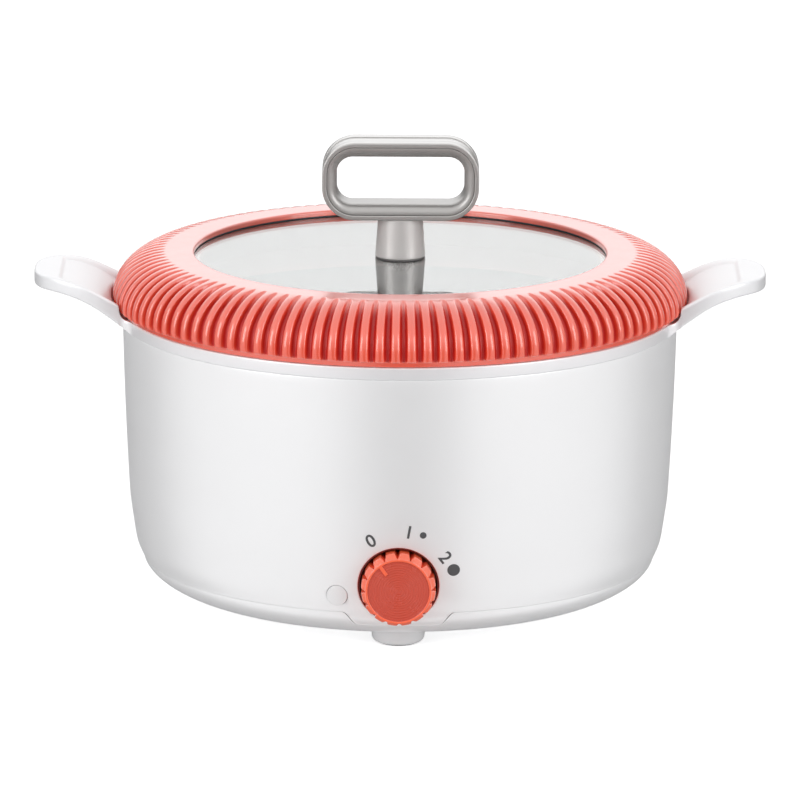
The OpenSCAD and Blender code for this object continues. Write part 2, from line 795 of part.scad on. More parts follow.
module heat_shield() color("lightgray") {
    difference() {
        rotate_extrude() polygon([
            [0, shield_z], [shield_r, shield_z], [shield_r, shield_z + shield_rim],
            [shield_r - shield_t, shield_z + shield_rim], [shield_r - shield_t, shield_z + shield_t],
            [0, shield_z + shield_t]
        ]);
        at_angles(tie_angles) translate([pillar_circle_r, 0, shield_z - 1]) cylinder(r = pillar_r + hole_gap, h = 4);
        for (x = [-cold_x, cold_x]) translate([x, cold_y, shield_z - 1]) cylinder(d = element_d + 3, h = 4);
    }
}

module limit_thermostat() color("ivory") {
    lug = [6, 4, 1];
    translate([0, 0, plate_z]) mirror([0, 0, 1]) union() {
        cylinder(r = thermostat_r, h = thermostat_h * 0.6);
        cylinder(r = thermostat_r * 0.7, h = thermostat_h);
        for (x = [-1, 1]) translate([x * (thermostat_r + 1), 0, lug.z / 2]) cube(lug, center = true);
    }
}

module thermal_fuse() color("goldenrod") {
    lead_l = 6;
    lead_d = 1.2;
    translate([-fuse_l / 2, element_r / 2, plate_z - fuse_d / 2]) rotate([0, 90, 0]) union() {
        cylinder(d = fuse_d, h = fuse_l);
        translate([0, 0, -lead_l]) cylinder(d = lead_d, h = fuse_l + 2 * lead_l);
    }
}

module support_pillars() color("silver") {
    shoulder = shield_z - pan_floor_z;
    at_angles(tie_angles) translate([pillar_circle_r, 0, pan_floor_z]) difference() {
        union() {
            cylinder(r = pillar_r + pillar_step, h = shoulder);
            cylinder(r = pillar_r, h = plate_z - pan_floor_z);
        }
        translate([0, 0, -1]) cylinder(r = tie_r + hole_gap, h = plate_z - pan_floor_z + 2);
    }
}

module tie_screws() color("silver") {
    at_angles(tie_angles) translate([pillar_circle_r, 0, foot_h + tie_sink]) union() {
        translate([0, 0, -tie_r / 2]) cylinder(r = tie_head_r, h = tie_r / 2);
        translate([0, 0, -eps]) cylinder(r = tie_r, h = plate_z + plate_t - tie_end - foot_h - tie_sink);
    }
}

// ---- Control knob, its socket and the switch

knob_rim_r = knob_r - tooth_h;
knob_front = shell_r(knob_z) + knob_proud;
knob_back = knob_front - knob_l;
socket_floor_front = knob_back - knob_gap;
socket_back = socket_floor_front - socket_floor;

module knob_socket() color("indianred") {
    inner_r = socket_r - socket_wall;
    difference() {
        intersection() {
            at_front(knob_z) translate([0, 0, socket_back]) cylinder(r = socket_r, h = shell_top_r - socket_back);
            rotate_extrude() polygon(concat(
                [[0, shell_line[0].y - tab_drop]],
                [for (p = pan_line) if (p.y > seam_z - tab_drop && p.y < seam_z) [p.x - socket_sink, p.y]],
                moved(shell_line, -socket_sink), [[0, shell_top_z]]
            ));
        }
        at_front(knob_z) {
            translate([0, 0, socket_floor_front]) cylinder(r = inner_r, h = shell_top_r);
            translate([0, 0, socket_back - 1]) cylinder(r = bush_r, h = socket_floor + 2);
        }
    }
}

module rotary_switch() color("saddlebrown") {
    bush_l = socket_floor + 2.2;
    at_front(knob_z) difference() {
        union() {
            translate([-switch_w / 2, -switch_w / 2, socket_back - switch_l]) cube([switch_w, switch_w, switch_l]);
            translate([0, 0, socket_back - eps]) cylinder(r = bush_r, h = bush_l);
            for (x = [-1, 1]) translate([x * switch_w * 0.3 - 2, 4, socket_back - switch_l - 5]) cube([4, 1, 6]);
        }
        translate([0, 0, socket_back - switch_l / 2]) cylinder(r = shaft_r + shaft_gap, h = past);
    }
}

module switch_nut() color("silver") {
    at_front(knob_z) translate([0, 0, socket_floor_front]) difference() {
        cylinder(r = bush_r * 1.6, h = 1.2, $fn = 6);
        translate([0, 0, -1]) cylinder(r = bush_r, h = 4);
    }
}

// Depth of material between the shaft's end and the knob's face
shaft_cover = 6;

module control_shaft() color("silver") {
    end = socket_back - switch_l / 2 + 0.5;
    at_front(knob_z) translate([0, 0, end]) cylinder(r = shaft_r, h = knob_front - shaft_cover - end);
}

module control_knob() color("coral") {
    edge = 0.6;
    nut_room = 1.5;
    rim_in_r = knob_rim_r - knob_rim_w;
    disc_depth = face_recess + face_t;
    at_front(knob_z) difference() {
        union() {
            translate([0, 0, knob_back]) cylinder(r = knob_rim_r, h = knob_l);
            intersection() {
                translate([0, 0, knob_back]) linear_extrude(knob_l) knob_outline();
                rotate_extrude() polygon([
                    [0, knob_back], [knob_r - edge, knob_back], [knob_r, knob_back + edge],
                    [knob_r, knob_front - tooth_slope], [knob_rim_r, knob_front - 0.4], [0, knob_front - 0.4]
                ]);
            }
        }
        translate([0, 0, knob_front - disc_depth]) cylinder(r = rim_in_r, h = disc_depth + 1);
        translate([0, 0, knob_back - 1]) cylinder(r = shaft_r, h = knob_l + 1 - shaft_cover);
        translate([0, 0, knob_back - 1]) cylinder(r = bush_r + nut_room, h = 4);
    }
}

module knob_outline() {
    step = 360 / tooth_count;
    for (i = [0:tooth_count - 1]) rotate([0, 0, pointer_off_angle + i * step])
        polygon([
            [-tooth_root_w / 2, knob_rim_r - 1.5], [tooth_root_w / 2, knob_rim_r - 1.5],
            [tooth_root_w / 2, knob_rim_r + 0.2], [tooth_top_w / 2, knob_r + 0.5],
            [-tooth_top_w / 2, knob_r + 0.5], [-tooth_root_w / 2, knob_rim_r + 0.2]
        ]);
}

module knob_face() color("firebrick") {
    at_front(knob_z) translate([0, 0, knob_front - face_recess - face_t])
        cylinder(r = knob_rim_r - knob_rim_w, h = face_t);
}

module knob_pointer() color("coral") {
    at_front(knob_z) rotate([0, 0, pointer_off_angle])
        translate([-pointer_w / 2, knob_rim_r - knob_rim_w - pointer_l - 0.1, knob_front - face_recess])
            cube([pointer_w, pointer_l, face_recess]);
}

// ---- Pilot lamp

lens_front = shell_r(lens_z) + lens_proud;

module pilot_lens() color("white") {
    dome = 0.8;
    rotate([0, 0, -lens_angle]) at_front(lens_z) translate([0, 0, lens_front - lens_l])
        rotate_extrude() polygon(concat(
            [[0, 0], [lens_r, 0]],
            [for (i = [0:5]) let (r = lens_r * (1 - i / 5)) [r, lens_l - dome * pow(r / lens_r, 2)]]
        ));
}

module pilot_lamp() color("orange") {
    rotate([0, 0, -lens_angle]) at_front(lens_z) translate([0, 0, lens_front - lens_l - lamp_l])
        cylinder(r = lamp_r, h = lamp_l);
}

// ---- Power inlet, terminal block and wiring

module pin_places() {
    for (p = [[-pin_pitch / 2, -1.5], [0, 2.5], [pin_pitch / 2, -1.5]]) translate(p) children();
}

module power_inlet() color("darkslategray") {
    at_back(inlet_z) difference() {
        translate([0, 0, inlet_front - inlet_l]) rounded_bar(inlet_w, inlet_h, inlet_l, inlet_wall);
        translate([0, 0, inlet_front - inlet_depth])
            rounded_bar(inlet_w - 2 * inlet_wall, inlet_h - 2 * inlet_wall, inlet_depth + 1, 1);
        pin_places() translate([-pin_w / 2, -pin_h / 2, inlet_front - inlet_l - 1]) cube([pin_w, pin_h, inlet_l]);
    }
}

module inlet_pins() color("gold") {
    pin_front = inlet_front - 3;
    pin_back = inlet_front - inlet_l - pin_tail;
    at_back(inlet_z) pin_places() translate([-pin_w / 2, -pin_h / 2, pin_back])
        cube([pin_w, pin_h, pin_front - pin_back]);
}

block_size = [34, 14, 12];
block_gap = 4;
block_y = pillar_circle_r + pillar_r + pillar_step + block_gap;

module terminal_block() color("ghostwhite") {
    translate([-block_size.x / 2, block_y, pan_floor_z]) difference() {
        cube(block_size);
        for (i = [0:2]) translate([block_size.x * (i + 0.5) / 3, block_size.y / 2, block_size.z / 2])
            cylinder(r = 2, h = block_size.z);
    }
}

function unit(v) = v / norm(v);

// Half-way direction of a route at point i, square to which its ring stands
function route_dir(points, i) =
    let (n = len(points) - 1)
    i == 0 ? unit(points[1] - points[0])
    : i == n ? unit(points[n] - points[n - 1])
    : unit(unit(points[i] - points[i - 1]) + unit(points[i + 1] - points[i]));

// A vector at one ring carried along the run that follows it into the next ring's plane
function carried(v, run, normal) = v - run * (v * normal) / (run * normal);

// A wire as one closed skin with mitred bends: a ring of vertices at each point of its route
module wire(points, d) {
    sides = 8;
    n = len(points) - 1;
    start = route_dir(points, 0);
    across = unit(cross(start, abs(start.z) < 0.9 ? [0, 0, 1] : [1, 0, 0]));
    up = cross(start, across);
    first = [for (k = [0:sides - 1]) let (a = 360 * k / sides) d / 2 * (across * cos(a) + up * sin(a))];
    rings = [for (i = 0, ring = first; i <= n;
        ring = i < n ? [for (v = ring) carried(v, points[i + 1] - points[i], route_dir(points, i + 1))] : ring,
        i = i + 1) [for (v = ring) points[i] + v]];
    polyhedron(
        points = [for (ring = rings) each ring],
        faces = concat(
            [[for (k = [0:sides - 1]) k]],
            [for (i = [0:n - 1], k = [0:sides - 1]) let (a = i * sides, b = a + sides, m = (k + 1) % sides)
                each [[a + k, b + k, b + m], [a + k, b + m, a + m]]],
            [[for (k = [sides - 1:-1:0]) n * sides + k]]
        )
    );
}

module wiring() color("steelblue") {
    d = 2.6;
    tail_y = inlet_front - inlet_l - pin_tail;
    block_z = pan_floor_z + block_size.z;
    low_z = pan_floor_z + 5;
    side_x = block_size.x / 2;
    mid_y = block_y + block_size.y / 2;
    run_x = 30;
    bend_room = 33;
    switch_back = -(socket_back - switch_l);
    lead_x = switch_w * 0.3;
    lamp_back = lens_front - lens_l - lamp_l;
    lamp_out = [-sin(lens_angle), -cos(lens_angle), 0];
    lens_at = [0, 0, lens_z];
    // Inlet to terminal block
    for (s = [-1, 1]) {
        pin = [s * pin_pitch / 2, tail_y, inlet_z - 1.5];
        screw = [s * block_size.x / 3, mid_y, block_z - block_size.z / 2];
        wire([pin, pin - [0, 4, 0], screw + [0, 0, 12], screw], d);
    }
    // Terminal block to switch
    wire([[side_x, mid_y, low_z], [side_x + 5, mid_y, low_z], [run_x, block_y - 8, low_z],
        [run_x, switch_back + bend_room, low_z], [lead_x, switch_back + 10, knob_z - 6], [lead_x, switch_back, knob_z - 6]], d);
    // Terminal block to one cold end of the element
    wire([[-side_x, mid_y, low_z], [-side_x - 5, mid_y, low_z], [-run_x, block_y - 8, low_z],
        [-run_x, cold_y + 14, low_z], [-cold_x, cold_y, low_z + 4], [-cold_x, cold_y, cold_z]], d);
    // Switch to the other cold end
    wire([[-lead_x, switch_back, knob_z - 9], [-lead_x, switch_back + 8, knob_z - 9],
        [cold_x, cold_y, cold_z - 6], [cold_x, cold_y, cold_z]], d);
    // Pilot lamp to switch
    wire([lens_at + lamp_out * lamp_back, lens_at + lamp_out * (lamp_back - 4),
        [-switch_w / 2 - 4, -socket_back + 12, lens_z], [-switch_w / 2, -socket_back + 12, lens_z]], d);
}

// ---- Lid: fluted ring, glass, seal and retaining ring

ring_r = shell_top_r + ring_over;
crown_r = ring_r - flank_w;
window_r = ring_r - ring_w;
rebate_r = ring_r - rebate_in;
flank_h = ring_top_z - belly_z;
// Width of the ring's lower face, from its lower edge out to its widest line
ring_low_w = 5.6;
glass_r = window_r + glass_lap;
seal_r = glass_r + seal_edge;

// Points of the ring's outer face below its widest line, from the lower edge up
function ring_low(steps) = [for (i = [0:steps]) let (a = 90 * i / steps) [
    ring_r - ring_low_w * (1 - sin(a)), belly_z - ring_belly * cos(a)
]];

// Depth of a flute across one rib: deep in the valley, none on the ridge
flute_form = [[0, 1], [0.26, 0.2], [0.5, 0], [0.74, 0.2]];

// One vertex ring of the fluted flank, at angle a on the flank's ellipse, drawn in by depth d
function flank_ring(a, d) = [4, [
    for (i = [0:rib_count - 1], s = flute_form)
        let (turn = 360 * (i + s[0]) / rib_count, in = d * s[1],
            r = crown_r + (flank_w - in) * cos(a), z = belly_z + (flank_h - in) * sin(a))
        [r * cos(turn), r * sin(turn), z]
]];

function belly_ring(drop, r, d) = [4, [
    for (i = [0:rib_count - 1], s = flute_form)
        let (turn = 360 * (i + s[0]) / rib_count, in = d * s[1])
        [(r - in) * cos(turn), (r - in) * sin(turn), belly_z - drop]
]];

function plain_ring(r, z) = [1, [
    for (i = [0:rib_count - 1]) let (turn = 360 * i / rib_count) [r * cos(turn), r * sin(turn), z]
]];

module trim_ring() color("coral") {
    lip = 1.2;
    rebate_w = 3;
    pocket_gap = 0.6;
    seat_z = glass_z + glass_t + seal_t;
    flange_top = ring_z + flange_step;
    ring_skin(concat(
        [plain_ring(window_r, seat_z), plain_ring(window_r, ring_top_z - lip), plain_ring(window_r + lip, ring_top_z)],
        [for (row = [[86, 0], [75, 0.4], [61, 0.85], [46, 1], [30, 1], [14, 1], [0, 1]])
            flank_ring(row[0], flute_d * row[1])],
        [belly_ring(ring_belly * 0.34, ring_r - 0.4, flute_d), belly_ring(ring_belly * 0.52, ring_r - 1.4, flute_d),
         belly_ring(ring_belly * 0.56, ring_r - 3.7, 0)],
        [plain_ring(ring_r - 4.3, ring_z + 0.9), plain_ring(ring_r - ring_low_w, ring_z),
         plain_ring(rebate_r, ring_z), plain_ring(rebate_r, flange_top), plain_ring(rebate_r - rebate_w, flange_top)],
        // The inner face follows the flank
        [for (a = [22, 42, 62])
            plain_ring(crown_r + (flank_w - ring_wall) * cos(a), belly_z + (flank_h - ring_wall) * sin(a))],
        [plain_ring(seal_r + pocket_gap, seat_z)]
    ), rib_count);
}

flange_step = 3.4;

module retaining_ring() color("rosybrown") {
    seat_z = glass_z - seal_t;
    foot_in_r = bore_r;
    flange_top = ring_z + flange_step;
    out_r = rebate_r - 0.2;
    skirt_r = pot_r - skirt_gap;
    wall_out_r = skirt_r + 1.5;
    cone_top_r = seal_r + retainer_t;
    rotate_extrude() polygon([
        [window_r - 3, seat_z], [seal_r, seat_z], [seal_r, seat_z + glass_t], [cone_top_r, seat_z + glass_t],
        [cone_top_r, seat_z - 1], [wall_out_r, flange_top], [out_r, flange_top], [out_r, ring_z],
        [flange_r - 2, ring_z], [flange_r - 2, flange_z], [foot_in_r, flange_z], [foot_in_r, ring_z],
        [skirt_r, ring_z], [skirt_r, ring_z - skirt_drop], [skirt_r - retainer_t, ring_z - skirt_drop],
        [skirt_r - retainer_t, flange_top - 0.6], [cone_top_r - retainer_t - 1, seat_z - retainer_t - 1],
        [window_r - 3, seat_z - retainer_t]
    ]);
}

module glass_seal() color("dimgray") {
    top_z = glass_z + glass_t;
    rotate_extrude() polygon([
        [window_r + 0.2, top_z], [window_r + 0.2, top_z + seal_t], [seal_r, top_z + seal_t], [seal_r, glass_z - seal_t],
        [window_r + 0.5, glass_z - seal_t], [window_r + 0.5, glass_z], [glass_r, glass_z], [glass_r, top_z]
    ]);
}

screw_hole_r = screw_r + 1.2;

module glass_pane() color("aliceblue", 0.4) {
    translate([0, 0, glass_z]) tube(glass_r, screw_hole_r, glass_t);
}

// ---- Lid handle: stem, seals, screw and the loop

module stem_seal() color("dimgray") {
    translate([0, 0, glass_z + glass_t]) tube(stem_foot_r - 0.2, screw_hole_r, seal_t);
}

module handle_stem() color("darkgray") {
    translate([0, 0, glass_z + glass_t + seal_t]) difference() {
        cylinder(r1 = stem_foot_r, r2 = stem_top_r, h = stem_h);
        translate([0, 0, -1]) cylinder(r = screw_r, h = stem_h - 2);
    }
}

module lower_seal() color("dimgray") {
    translate([0, 0, glass_z - seal_t]) tube(washer_r + 0.6, screw_hole_r, seal_t);
}

module clamp_washer() color("silver") {
    translate([0, 0, glass_z - seal_t - washer_t]) tube(washer_r, screw_r + hole_gap, washer_t);
}

module handle_screw() color("silver") {
    under = glass_z - seal_t - washer_t;
    head_h = screw_r * 1.1;
    translate([0, 0, under]) difference() {
        union() {
            translate([0, 0, -head_h]) cylinder(r = screw_r * 1.9, h = head_h);
            translate([0, 0, -eps]) cylinder(r = screw_r, h = glass_z + glass_t + stem_h - 4 - under);
        }
        for (a = [0, 90]) translate([0, 0, -head_h]) rotate([0, 0, a])
            cube([screw_r * 2, screw_r * 0.4, screw_r], center = true);
    }
}

corner_points = 8;

// Vertex ring along the loop's outline, drawn in by inset, at depth y from the loop's middle
function loop_ring(inset, y) = [1, [
    for (c = [0:3], k = [0:corner_points - 1])
        let (a = 90 * (c + k / (corner_points - 1)), r = loop_r - inset,
            sx = (c == 0 || c == 3) ? 1 : -1, sz = c < 2 ? 1 : -1)
        [sx * (loop_w / 2 - loop_r) + r * cos(a), y, loop_z + loop_h / 2 + sz * (loop_h / 2 - loop_r) + r * sin(a)]
]];

module loop_skin(profile) {
    ring_skin([for (p = profile) loop_ring(p.x, p.y)], 4 * corner_points);
}

// Front frame: a rounded rim whose inner side sits on the liner
module loop_frame() {
    y = loop_d / 2;
    edge = 1.1;
    loop_skin([
        [0, -band_w / 2], [0, edge - y], [edge * 0.3, edge * 0.3 - y], [edge, -y], [frame_w - 0.3, -y],
        [frame_w, 0.3 - y], [frame_w, -band_w / 2]
    ]);
}

module handle_front() color("darkgray") loop_frame();
module handle_back() color("darkgray") mirror([0, 1, 0]) loop_frame();

module handle_band() color("gray") {
    y = band_w / 2;
    w = loop_w - 2 * band_step;
    h = loop_h - 2 * band_step;
    inner = frame_w - band_step;
    translate([0, y, loop_z + loop_h / 2]) rotate([90, 0, 0]) difference() {
        rounded_bar(w, h, band_w, loop_r - band_step);
        translate([0, 0, -1])
            rounded_bar(w - 2 * inner, h - 2 * inner, band_w + 2, loop_r - frame_w);
    }
}

// Liner: a flared tunnel whose hollow bevels lead to the finger hole
module handle_liner() color("gray") {
    y = loop_d / 2;
    hole = frame_w + bevel_w;
    lip = 0.5;
    steps = 5;
    bevel = [for (i = [0:steps]) let (a = 90 * i / steps) [
        hole - (bevel_w - lip) * (1 - sin(a)), -y + 0.2 + bevel_d * (1 - cos(a))
    ]];
    front = concat([[frame_w + 0.05, 0.6 - y], [frame_w + lip * 0.6, 0.2 - y]], bevel);
    loop_skin(concat(front, [for (p = reversed(front)) [p.x, -p.y]]));
}

outer_shell();
base_pan();
foot_front();
foot_left();
foot_right();
foot_pads();
foot_screws();
rim_collar();
inner_pot();
heat_plate();
heating_element();
heat_shield();
limit_thermostat();
thermal_fuse();
support_pillars();
tie_screws();
knob_socket();
rotary_switch();
switch_nut();
pilot_lens();
pilot_lamp();
power_inlet();
inlet_pins();
terminal_block();
wiring();
control_shaft();
control_knob();
knob_face();
knob_pointer();
trim_ring();
retaining_ring();
glass_seal();
glass_pane();
handle_stem();
stem_seal();
lower_seal();
clamp_washer();
handle_screw();
handle_front();
handle_band();
handle_back();
handle_liner();
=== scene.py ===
import math

import bmesh
import bpy
from mathutils import Matrix, Vector


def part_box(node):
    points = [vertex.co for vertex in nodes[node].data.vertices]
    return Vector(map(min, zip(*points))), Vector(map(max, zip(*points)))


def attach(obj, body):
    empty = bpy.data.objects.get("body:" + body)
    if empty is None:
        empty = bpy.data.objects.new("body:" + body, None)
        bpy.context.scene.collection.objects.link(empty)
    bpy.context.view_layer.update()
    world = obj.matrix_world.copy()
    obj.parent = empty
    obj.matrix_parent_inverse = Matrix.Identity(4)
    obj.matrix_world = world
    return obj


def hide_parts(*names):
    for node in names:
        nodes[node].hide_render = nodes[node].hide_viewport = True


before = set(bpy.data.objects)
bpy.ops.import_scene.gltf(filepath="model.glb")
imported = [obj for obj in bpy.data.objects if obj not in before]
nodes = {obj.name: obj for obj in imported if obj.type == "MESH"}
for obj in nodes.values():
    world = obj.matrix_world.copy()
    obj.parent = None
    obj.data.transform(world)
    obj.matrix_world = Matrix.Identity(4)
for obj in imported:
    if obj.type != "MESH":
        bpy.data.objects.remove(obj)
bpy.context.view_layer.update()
mm = 0.001
scene = bpy.context.scene
print("frame loaded,", len(nodes), "nodes")


def level(node, side):  # lowest (0) or highest (1) z of a CAD node in mm
    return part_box(node)[side].z / mm


def reach(node):  # largest x of a CAD node in mm, which is the radius of a round one
    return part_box(node)[1].x / mm


def clamp(value):  # kept between 0 and 1
    return min(1, max(0, value))


def smooth(value):  # the same with a soft start and end
    t = clamp(value)
    return t * t * (3 - 2 * t)


def angles(*degrees):  # the same in radians
    return [math.radians(value) for value in degrees]


def fullTurn(count):  # evenly spaced angles
    return [2 * math.pi * k / count for k in range(count)]


def polar(radius, angle, z):  # a point in metres from sizes in mm
    return (radius * math.cos(angle) * mm, radius * math.sin(angle) * mm, z * mm)


def rgb(red, green, blue):  # a colour as a screen shows it, made linear
    values = [v / 255 for v in (red, green, blue)]
    return tuple(v / 12.92 if v <= 0.04045 else ((v + 0.055) / 1.055) ** 2.4 for v in values) + (1,)


def feed(tree, socket, value):  # a number is set, an output is linked
    if isinstance(value, (int, float)):
        socket.default_value = value
    else:
        tree.links.new(value, socket)


def mathNode(tree, operation, *values):
    node = tree.nodes.new("ShaderNodeMath")
    node.operation = operation
    for socket, value in zip(node.inputs, values):
        feed(tree, socket, value)
    return node.outputs[0]


def noiseNode(tree, vector, scale, detail, roughness=0.5):
    node = tree.nodes.new("ShaderNodeTexNoise")
    for title, value in (("Vector", vector), ("Scale", scale), ("Detail", detail), ("Roughness", roughness)):
        feed(tree, node.inputs[title], value)
    return node.outputs["Fac"]


def rangeNode(tree, value, start, end, low=0.0, high=1.0, shape="SMOOTHSTEP"):
    node = tree.nodes.new("ShaderNodeMapRange")
    node.interpolation_type = shape
    titles = ("Value", "From Min", "From Max", "To Min", "To Max")
    for title, number in zip(titles, (value, start, end, low, high)):
        feed(tree, node.inputs[title], number)
    return node.outputs["Result"]


def spread(tree, value, low, high):  # maps 0.3..0.7, where noise mostly lies, to low..high
    return rangeNode(tree, value, 0.3, 0.7, low, high, "LINEAR")


def newGroup(name, inputs):  # the outputs are a surface's colour, roughness and bump height
    tree = bpy.data.node_groups.new(name, "ShaderNodeTree")
    for title, kind, value in inputs:
        socket = tree.interface.new_socket(title, in_out="INPUT", socket_type="NodeSocket" + kind)
        socket.default_value = value
    for title, kind in (("Color", "Color"), ("Roughness", "Float"), ("Height", "Float")):
        tree.interface.new_socket(title, in_out="OUTPUT", socket_type="NodeSocket" + kind)
    coords = tree.nodes.new("ShaderNodeTexCoord").outputs["Object"]
    return tree, tree.nodes.new("NodeGroupInput").outputs, coords


def closeGroup(tree, given, toneNoise, glossNoise, height):
    out = tree.nodes.new("NodeGroupOutput")
    tone = spread(tree, toneNoise, mathNode(tree, "SUBTRACT", 1, given["Tone Shift"]), 1)
    scaled = tree.nodes.new("ShaderNodeVectorMath")
    scaled.operation = "SCALE"
    tree.links.new(given["Color"], scaled.inputs[0])
    tree.links.new(tone, scaled.inputs["Scale"])
    tree.links.new(scaled.outputs[0], out.inputs["Color"])
    low = mathNode(tree, "SUBTRACT", given["Roughness"], given["Gloss Shift"])
    high = mathNode(tree, "ADD", given["Roughness"], given["Gloss Shift"])
    tree.links.new(spread(tree, glossNoise, low, high), out.inputs["Roughness"])
    tree.links.new(height, out.inputs["Height"])
    return tree


def buildMouldedGroup():  # moulded plastic: faint flow marks in the colour, uneven gloss, fine grain
    tree, given, coords = newGroup("mouldedFinish", [
        ("Color", "Color", (0.8, 0.8, 0.8, 1)), ("Tone Shift", "Float", 0.03), ("Flow Scale", "Float", 25),
        ("Roughness", "Float", 0.35), ("Gloss Shift", "Float", 0.05), ("Grain Scale", "Float", 2500)])
    flow = noiseNode(tree, coords, given["Flow Scale"], 3)
    smudge = noiseNode(tree, coords, 90, 5, 0.6)
    grain = noiseNode(tree, coords, given["Grain Scale"], 2)
    return closeGroup(tree, given, flow, smudge, grain)


def buildMetalGroup():  # worked metal: fine scratches along one direction and uneven gloss
    tree, given, coords = newGroup("workedMetal", [
        ("Color", "Color", (0.6, 0.6, 0.6, 1)), ("Tone Shift", "Float", 0.12), ("Roughness", "Float", 0.3),
        ("Gloss Shift", "Float", 0.1), ("Stretch", "Vector", (900, 900, 40))])
    stretch = tree.nodes.new("ShaderNodeVectorMath")
    stretch.operation = "MULTIPLY"
    tree.links.new(coords, stretch.inputs[0])
    tree.links.new(given["Stretch"], stretch.inputs[1])
    scratches = noiseNode(tree, stretch.outputs[0], 1, 4, 0.6)
    patches = noiseNode(tree, coords, 60, 4)
    return closeGroup(tree, given, patches, scratches, scratches)


mouldedGroup = buildMouldedGroup()
metalGroup = buildMetalGroup()

plastics = {  # colour, roughness, shift of tone and of gloss, grain scale, bump as (strength, mm)
    "shellWhite": ((241, 241, 242), 0.36, 0.01, 0.02),
    # painted shade: a darker copy of the shell's white for the collar and ear handles, to hold back the
    # strong light on their tops
    "collarShadedWhite": ((234, 234, 236), 0.36, 0.01, 0.02),
    "footGrey": ((214, 214, 215), 0.4, 0.02),
    "padRubber": ((70, 70, 72), 0.75, 0.1, 0.05, 1500, (0.3, 0.05)),
    "ringCoral": ((240, 84, 56), 0.36, 0.02, 0.02),
    "retainerCoral": ((150, 118, 114), 0.4, 0.03),
    "knobCoral": ((255, 106, 68), 0.3, 0.02, 0.02),
    "faceRed": ((202, 74, 54), 0.26, 0.02, 0.03),
    # painted shade: the knob socket takes the dark maroon that its recess shows in shadow
    "socketShadedMaroon": ((120, 40, 30), 0.45, 0.05),
    "handleGrey": ((186, 184, 182), 0.28, 0.01, 0.005, 600, (0.05, 0.01)),
    "stemGrey": ((214, 211, 209), 0.42, 0.01, 0.005, 600, (0.05, 0.01)),
    "linerGrey": ((172, 170, 168), 0.3, 0.01, 0.005, 600, (0.05, 0.01)),
    "sealDark": ((70, 68, 68), 0.6, 0.06),
    "sealGrey": ((120, 118, 117), 0.5, 0.04),
    "ceramic": ((74, 72, 71), 0.3, 0.03, 0.01, 600, (0.05, 0.01)),
    "ivory": ((232, 226, 205), 0.5, 0.05),
    "phenolic": ((92, 60, 44), 0.5, 0.1),
    "milkyLens": ((232, 232, 233), 0.26, 0.01, 0.02, 1200, (0.05, 0.01)),
    "lampAmber": ((235, 150, 70), 0.3, 0.04),
    "inletBlack": ((38, 38, 40), 0.45, 0.1, 0.06, 1800, (0.3, 0.03)),
    "wireSleeve": ((90, 120, 170), 0.5, 0.06),
    "print": ((78, 78, 80), 0.5, 0.05),
}
metals = {  # colour, roughness, stretch of the scratches, bump as (strength, mm)
    "steel": ((200, 200, 202), 0.28),
    "castAluminium": ((196, 196, 198), 0.45, (300, 300, 300), (0.4, 0.05)),
    "elementSheath": ((120, 116, 112), 0.5, (500, 500, 500)),
    "brass": ((214, 178, 100), 0.3),
}
extras = {  # what a finish sets on the shader besides
    "shellWhite": {"Metallic": 0.3}, "collarShadedWhite": {"Metallic": 0.3},
    "ringCoral": {"Coat Roughness": 0.16, "Coat IOR": 1.7},
    "knobCoral": {"Coat Weight": 0.8, "Coat Roughness": 0.1},
    "handleGrey": {"Metallic": 0.35, "Coat Weight": 0.5, "Coat Roughness": 0.14},
    "stemGrey": {"Metallic": 0.35}, "linerGrey": {"Metallic": 0.35},
}
glass = {"tint": (246, 250, 249), "ior": 1.5, "hazeScale": 30, "haze": 0.012}
valley = {"color": (196, 28, 20), "start": 0.25, "full": 0.85}  # painted shade in the flutes: its deep red colour, and the depth shares where it sets in and is full
nodeFinish = {
    "shellWhite": ["outer_shell", "base_pan", "rim_collar"],
    "footGrey": ["foot_front", "foot_left", "foot_right"], "padRubber": ["foot_pads"],
    "ringCoral": ["trim_ring"], "retainerCoral": ["retaining_ring"],
    "knobCoral": ["control_knob", "knob_pointer"], "faceRed": ["knob_face"], "socketShadedMaroon": ["knob_socket"],
    "handleGrey": ["handle_front", "handle_back", "handle_band"], "linerGrey": ["handle_liner"],
    "stemGrey": ["handle_stem"], "sealGrey": ["stem_seal"], "sealDark": ["glass_seal", "lower_seal"],
    "ceramic": ["inner_pot"],
    "steel": ["heat_shield", "support_pillars", "tie_screws", "foot_screws", "switch_nut", "control_shaft",
              "clamp_washer", "handle_screw"],
    "castAluminium": ["heat_plate"], "elementSheath": ["heating_element"],
    "ivory": ["limit_thermostat", "terminal_block"], "brass": ["thermal_fuse", "inlet_pins"],
    "phenolic": ["rotary_switch"], "milkyLens": ["pilot_lens"], "lampAmber": ["pilot_lamp"],
    "inletBlack": ["power_inlet"], "wireSleeve": ["wiring"], "glass": ["glass_pane"],
}


def newMaterial(name):
    material = bpy.data.materials.new(name)
    material.use_nodes = True
    tree = material.node_tree
    return material, tree, tree.nodes["Principled BSDF"].inputs


def finishMaterial(name, group, values, bump):
    material, tree, shader = newMaterial(name)
    effect = tree.nodes.new("ShaderNodeGroup")
    effect.node_tree = group
    for title, value in values.items():
        effect.inputs[title].default_value = value
    for title, value in extras.get(name, {}).items():
        shader[title].default_value = value
    bumpNode = tree.nodes.new("ShaderNodeBump")
    bumpNode.inputs["Strength"].default_value = bump[0]
    bumpNode.inputs["Distance"].default_value = bump[1] * mm
    tree.links.new(effect.outputs["Color"], shader["Base Color"])
    tree.links.new(effect.outputs["Roughness"], shader["Roughness"])
    tree.links.new(effect.outputs["Height"], bumpNode.inputs["Height"])
    tree.links.new(bumpNode.outputs["Normal"], shader["Normal"])
    return material


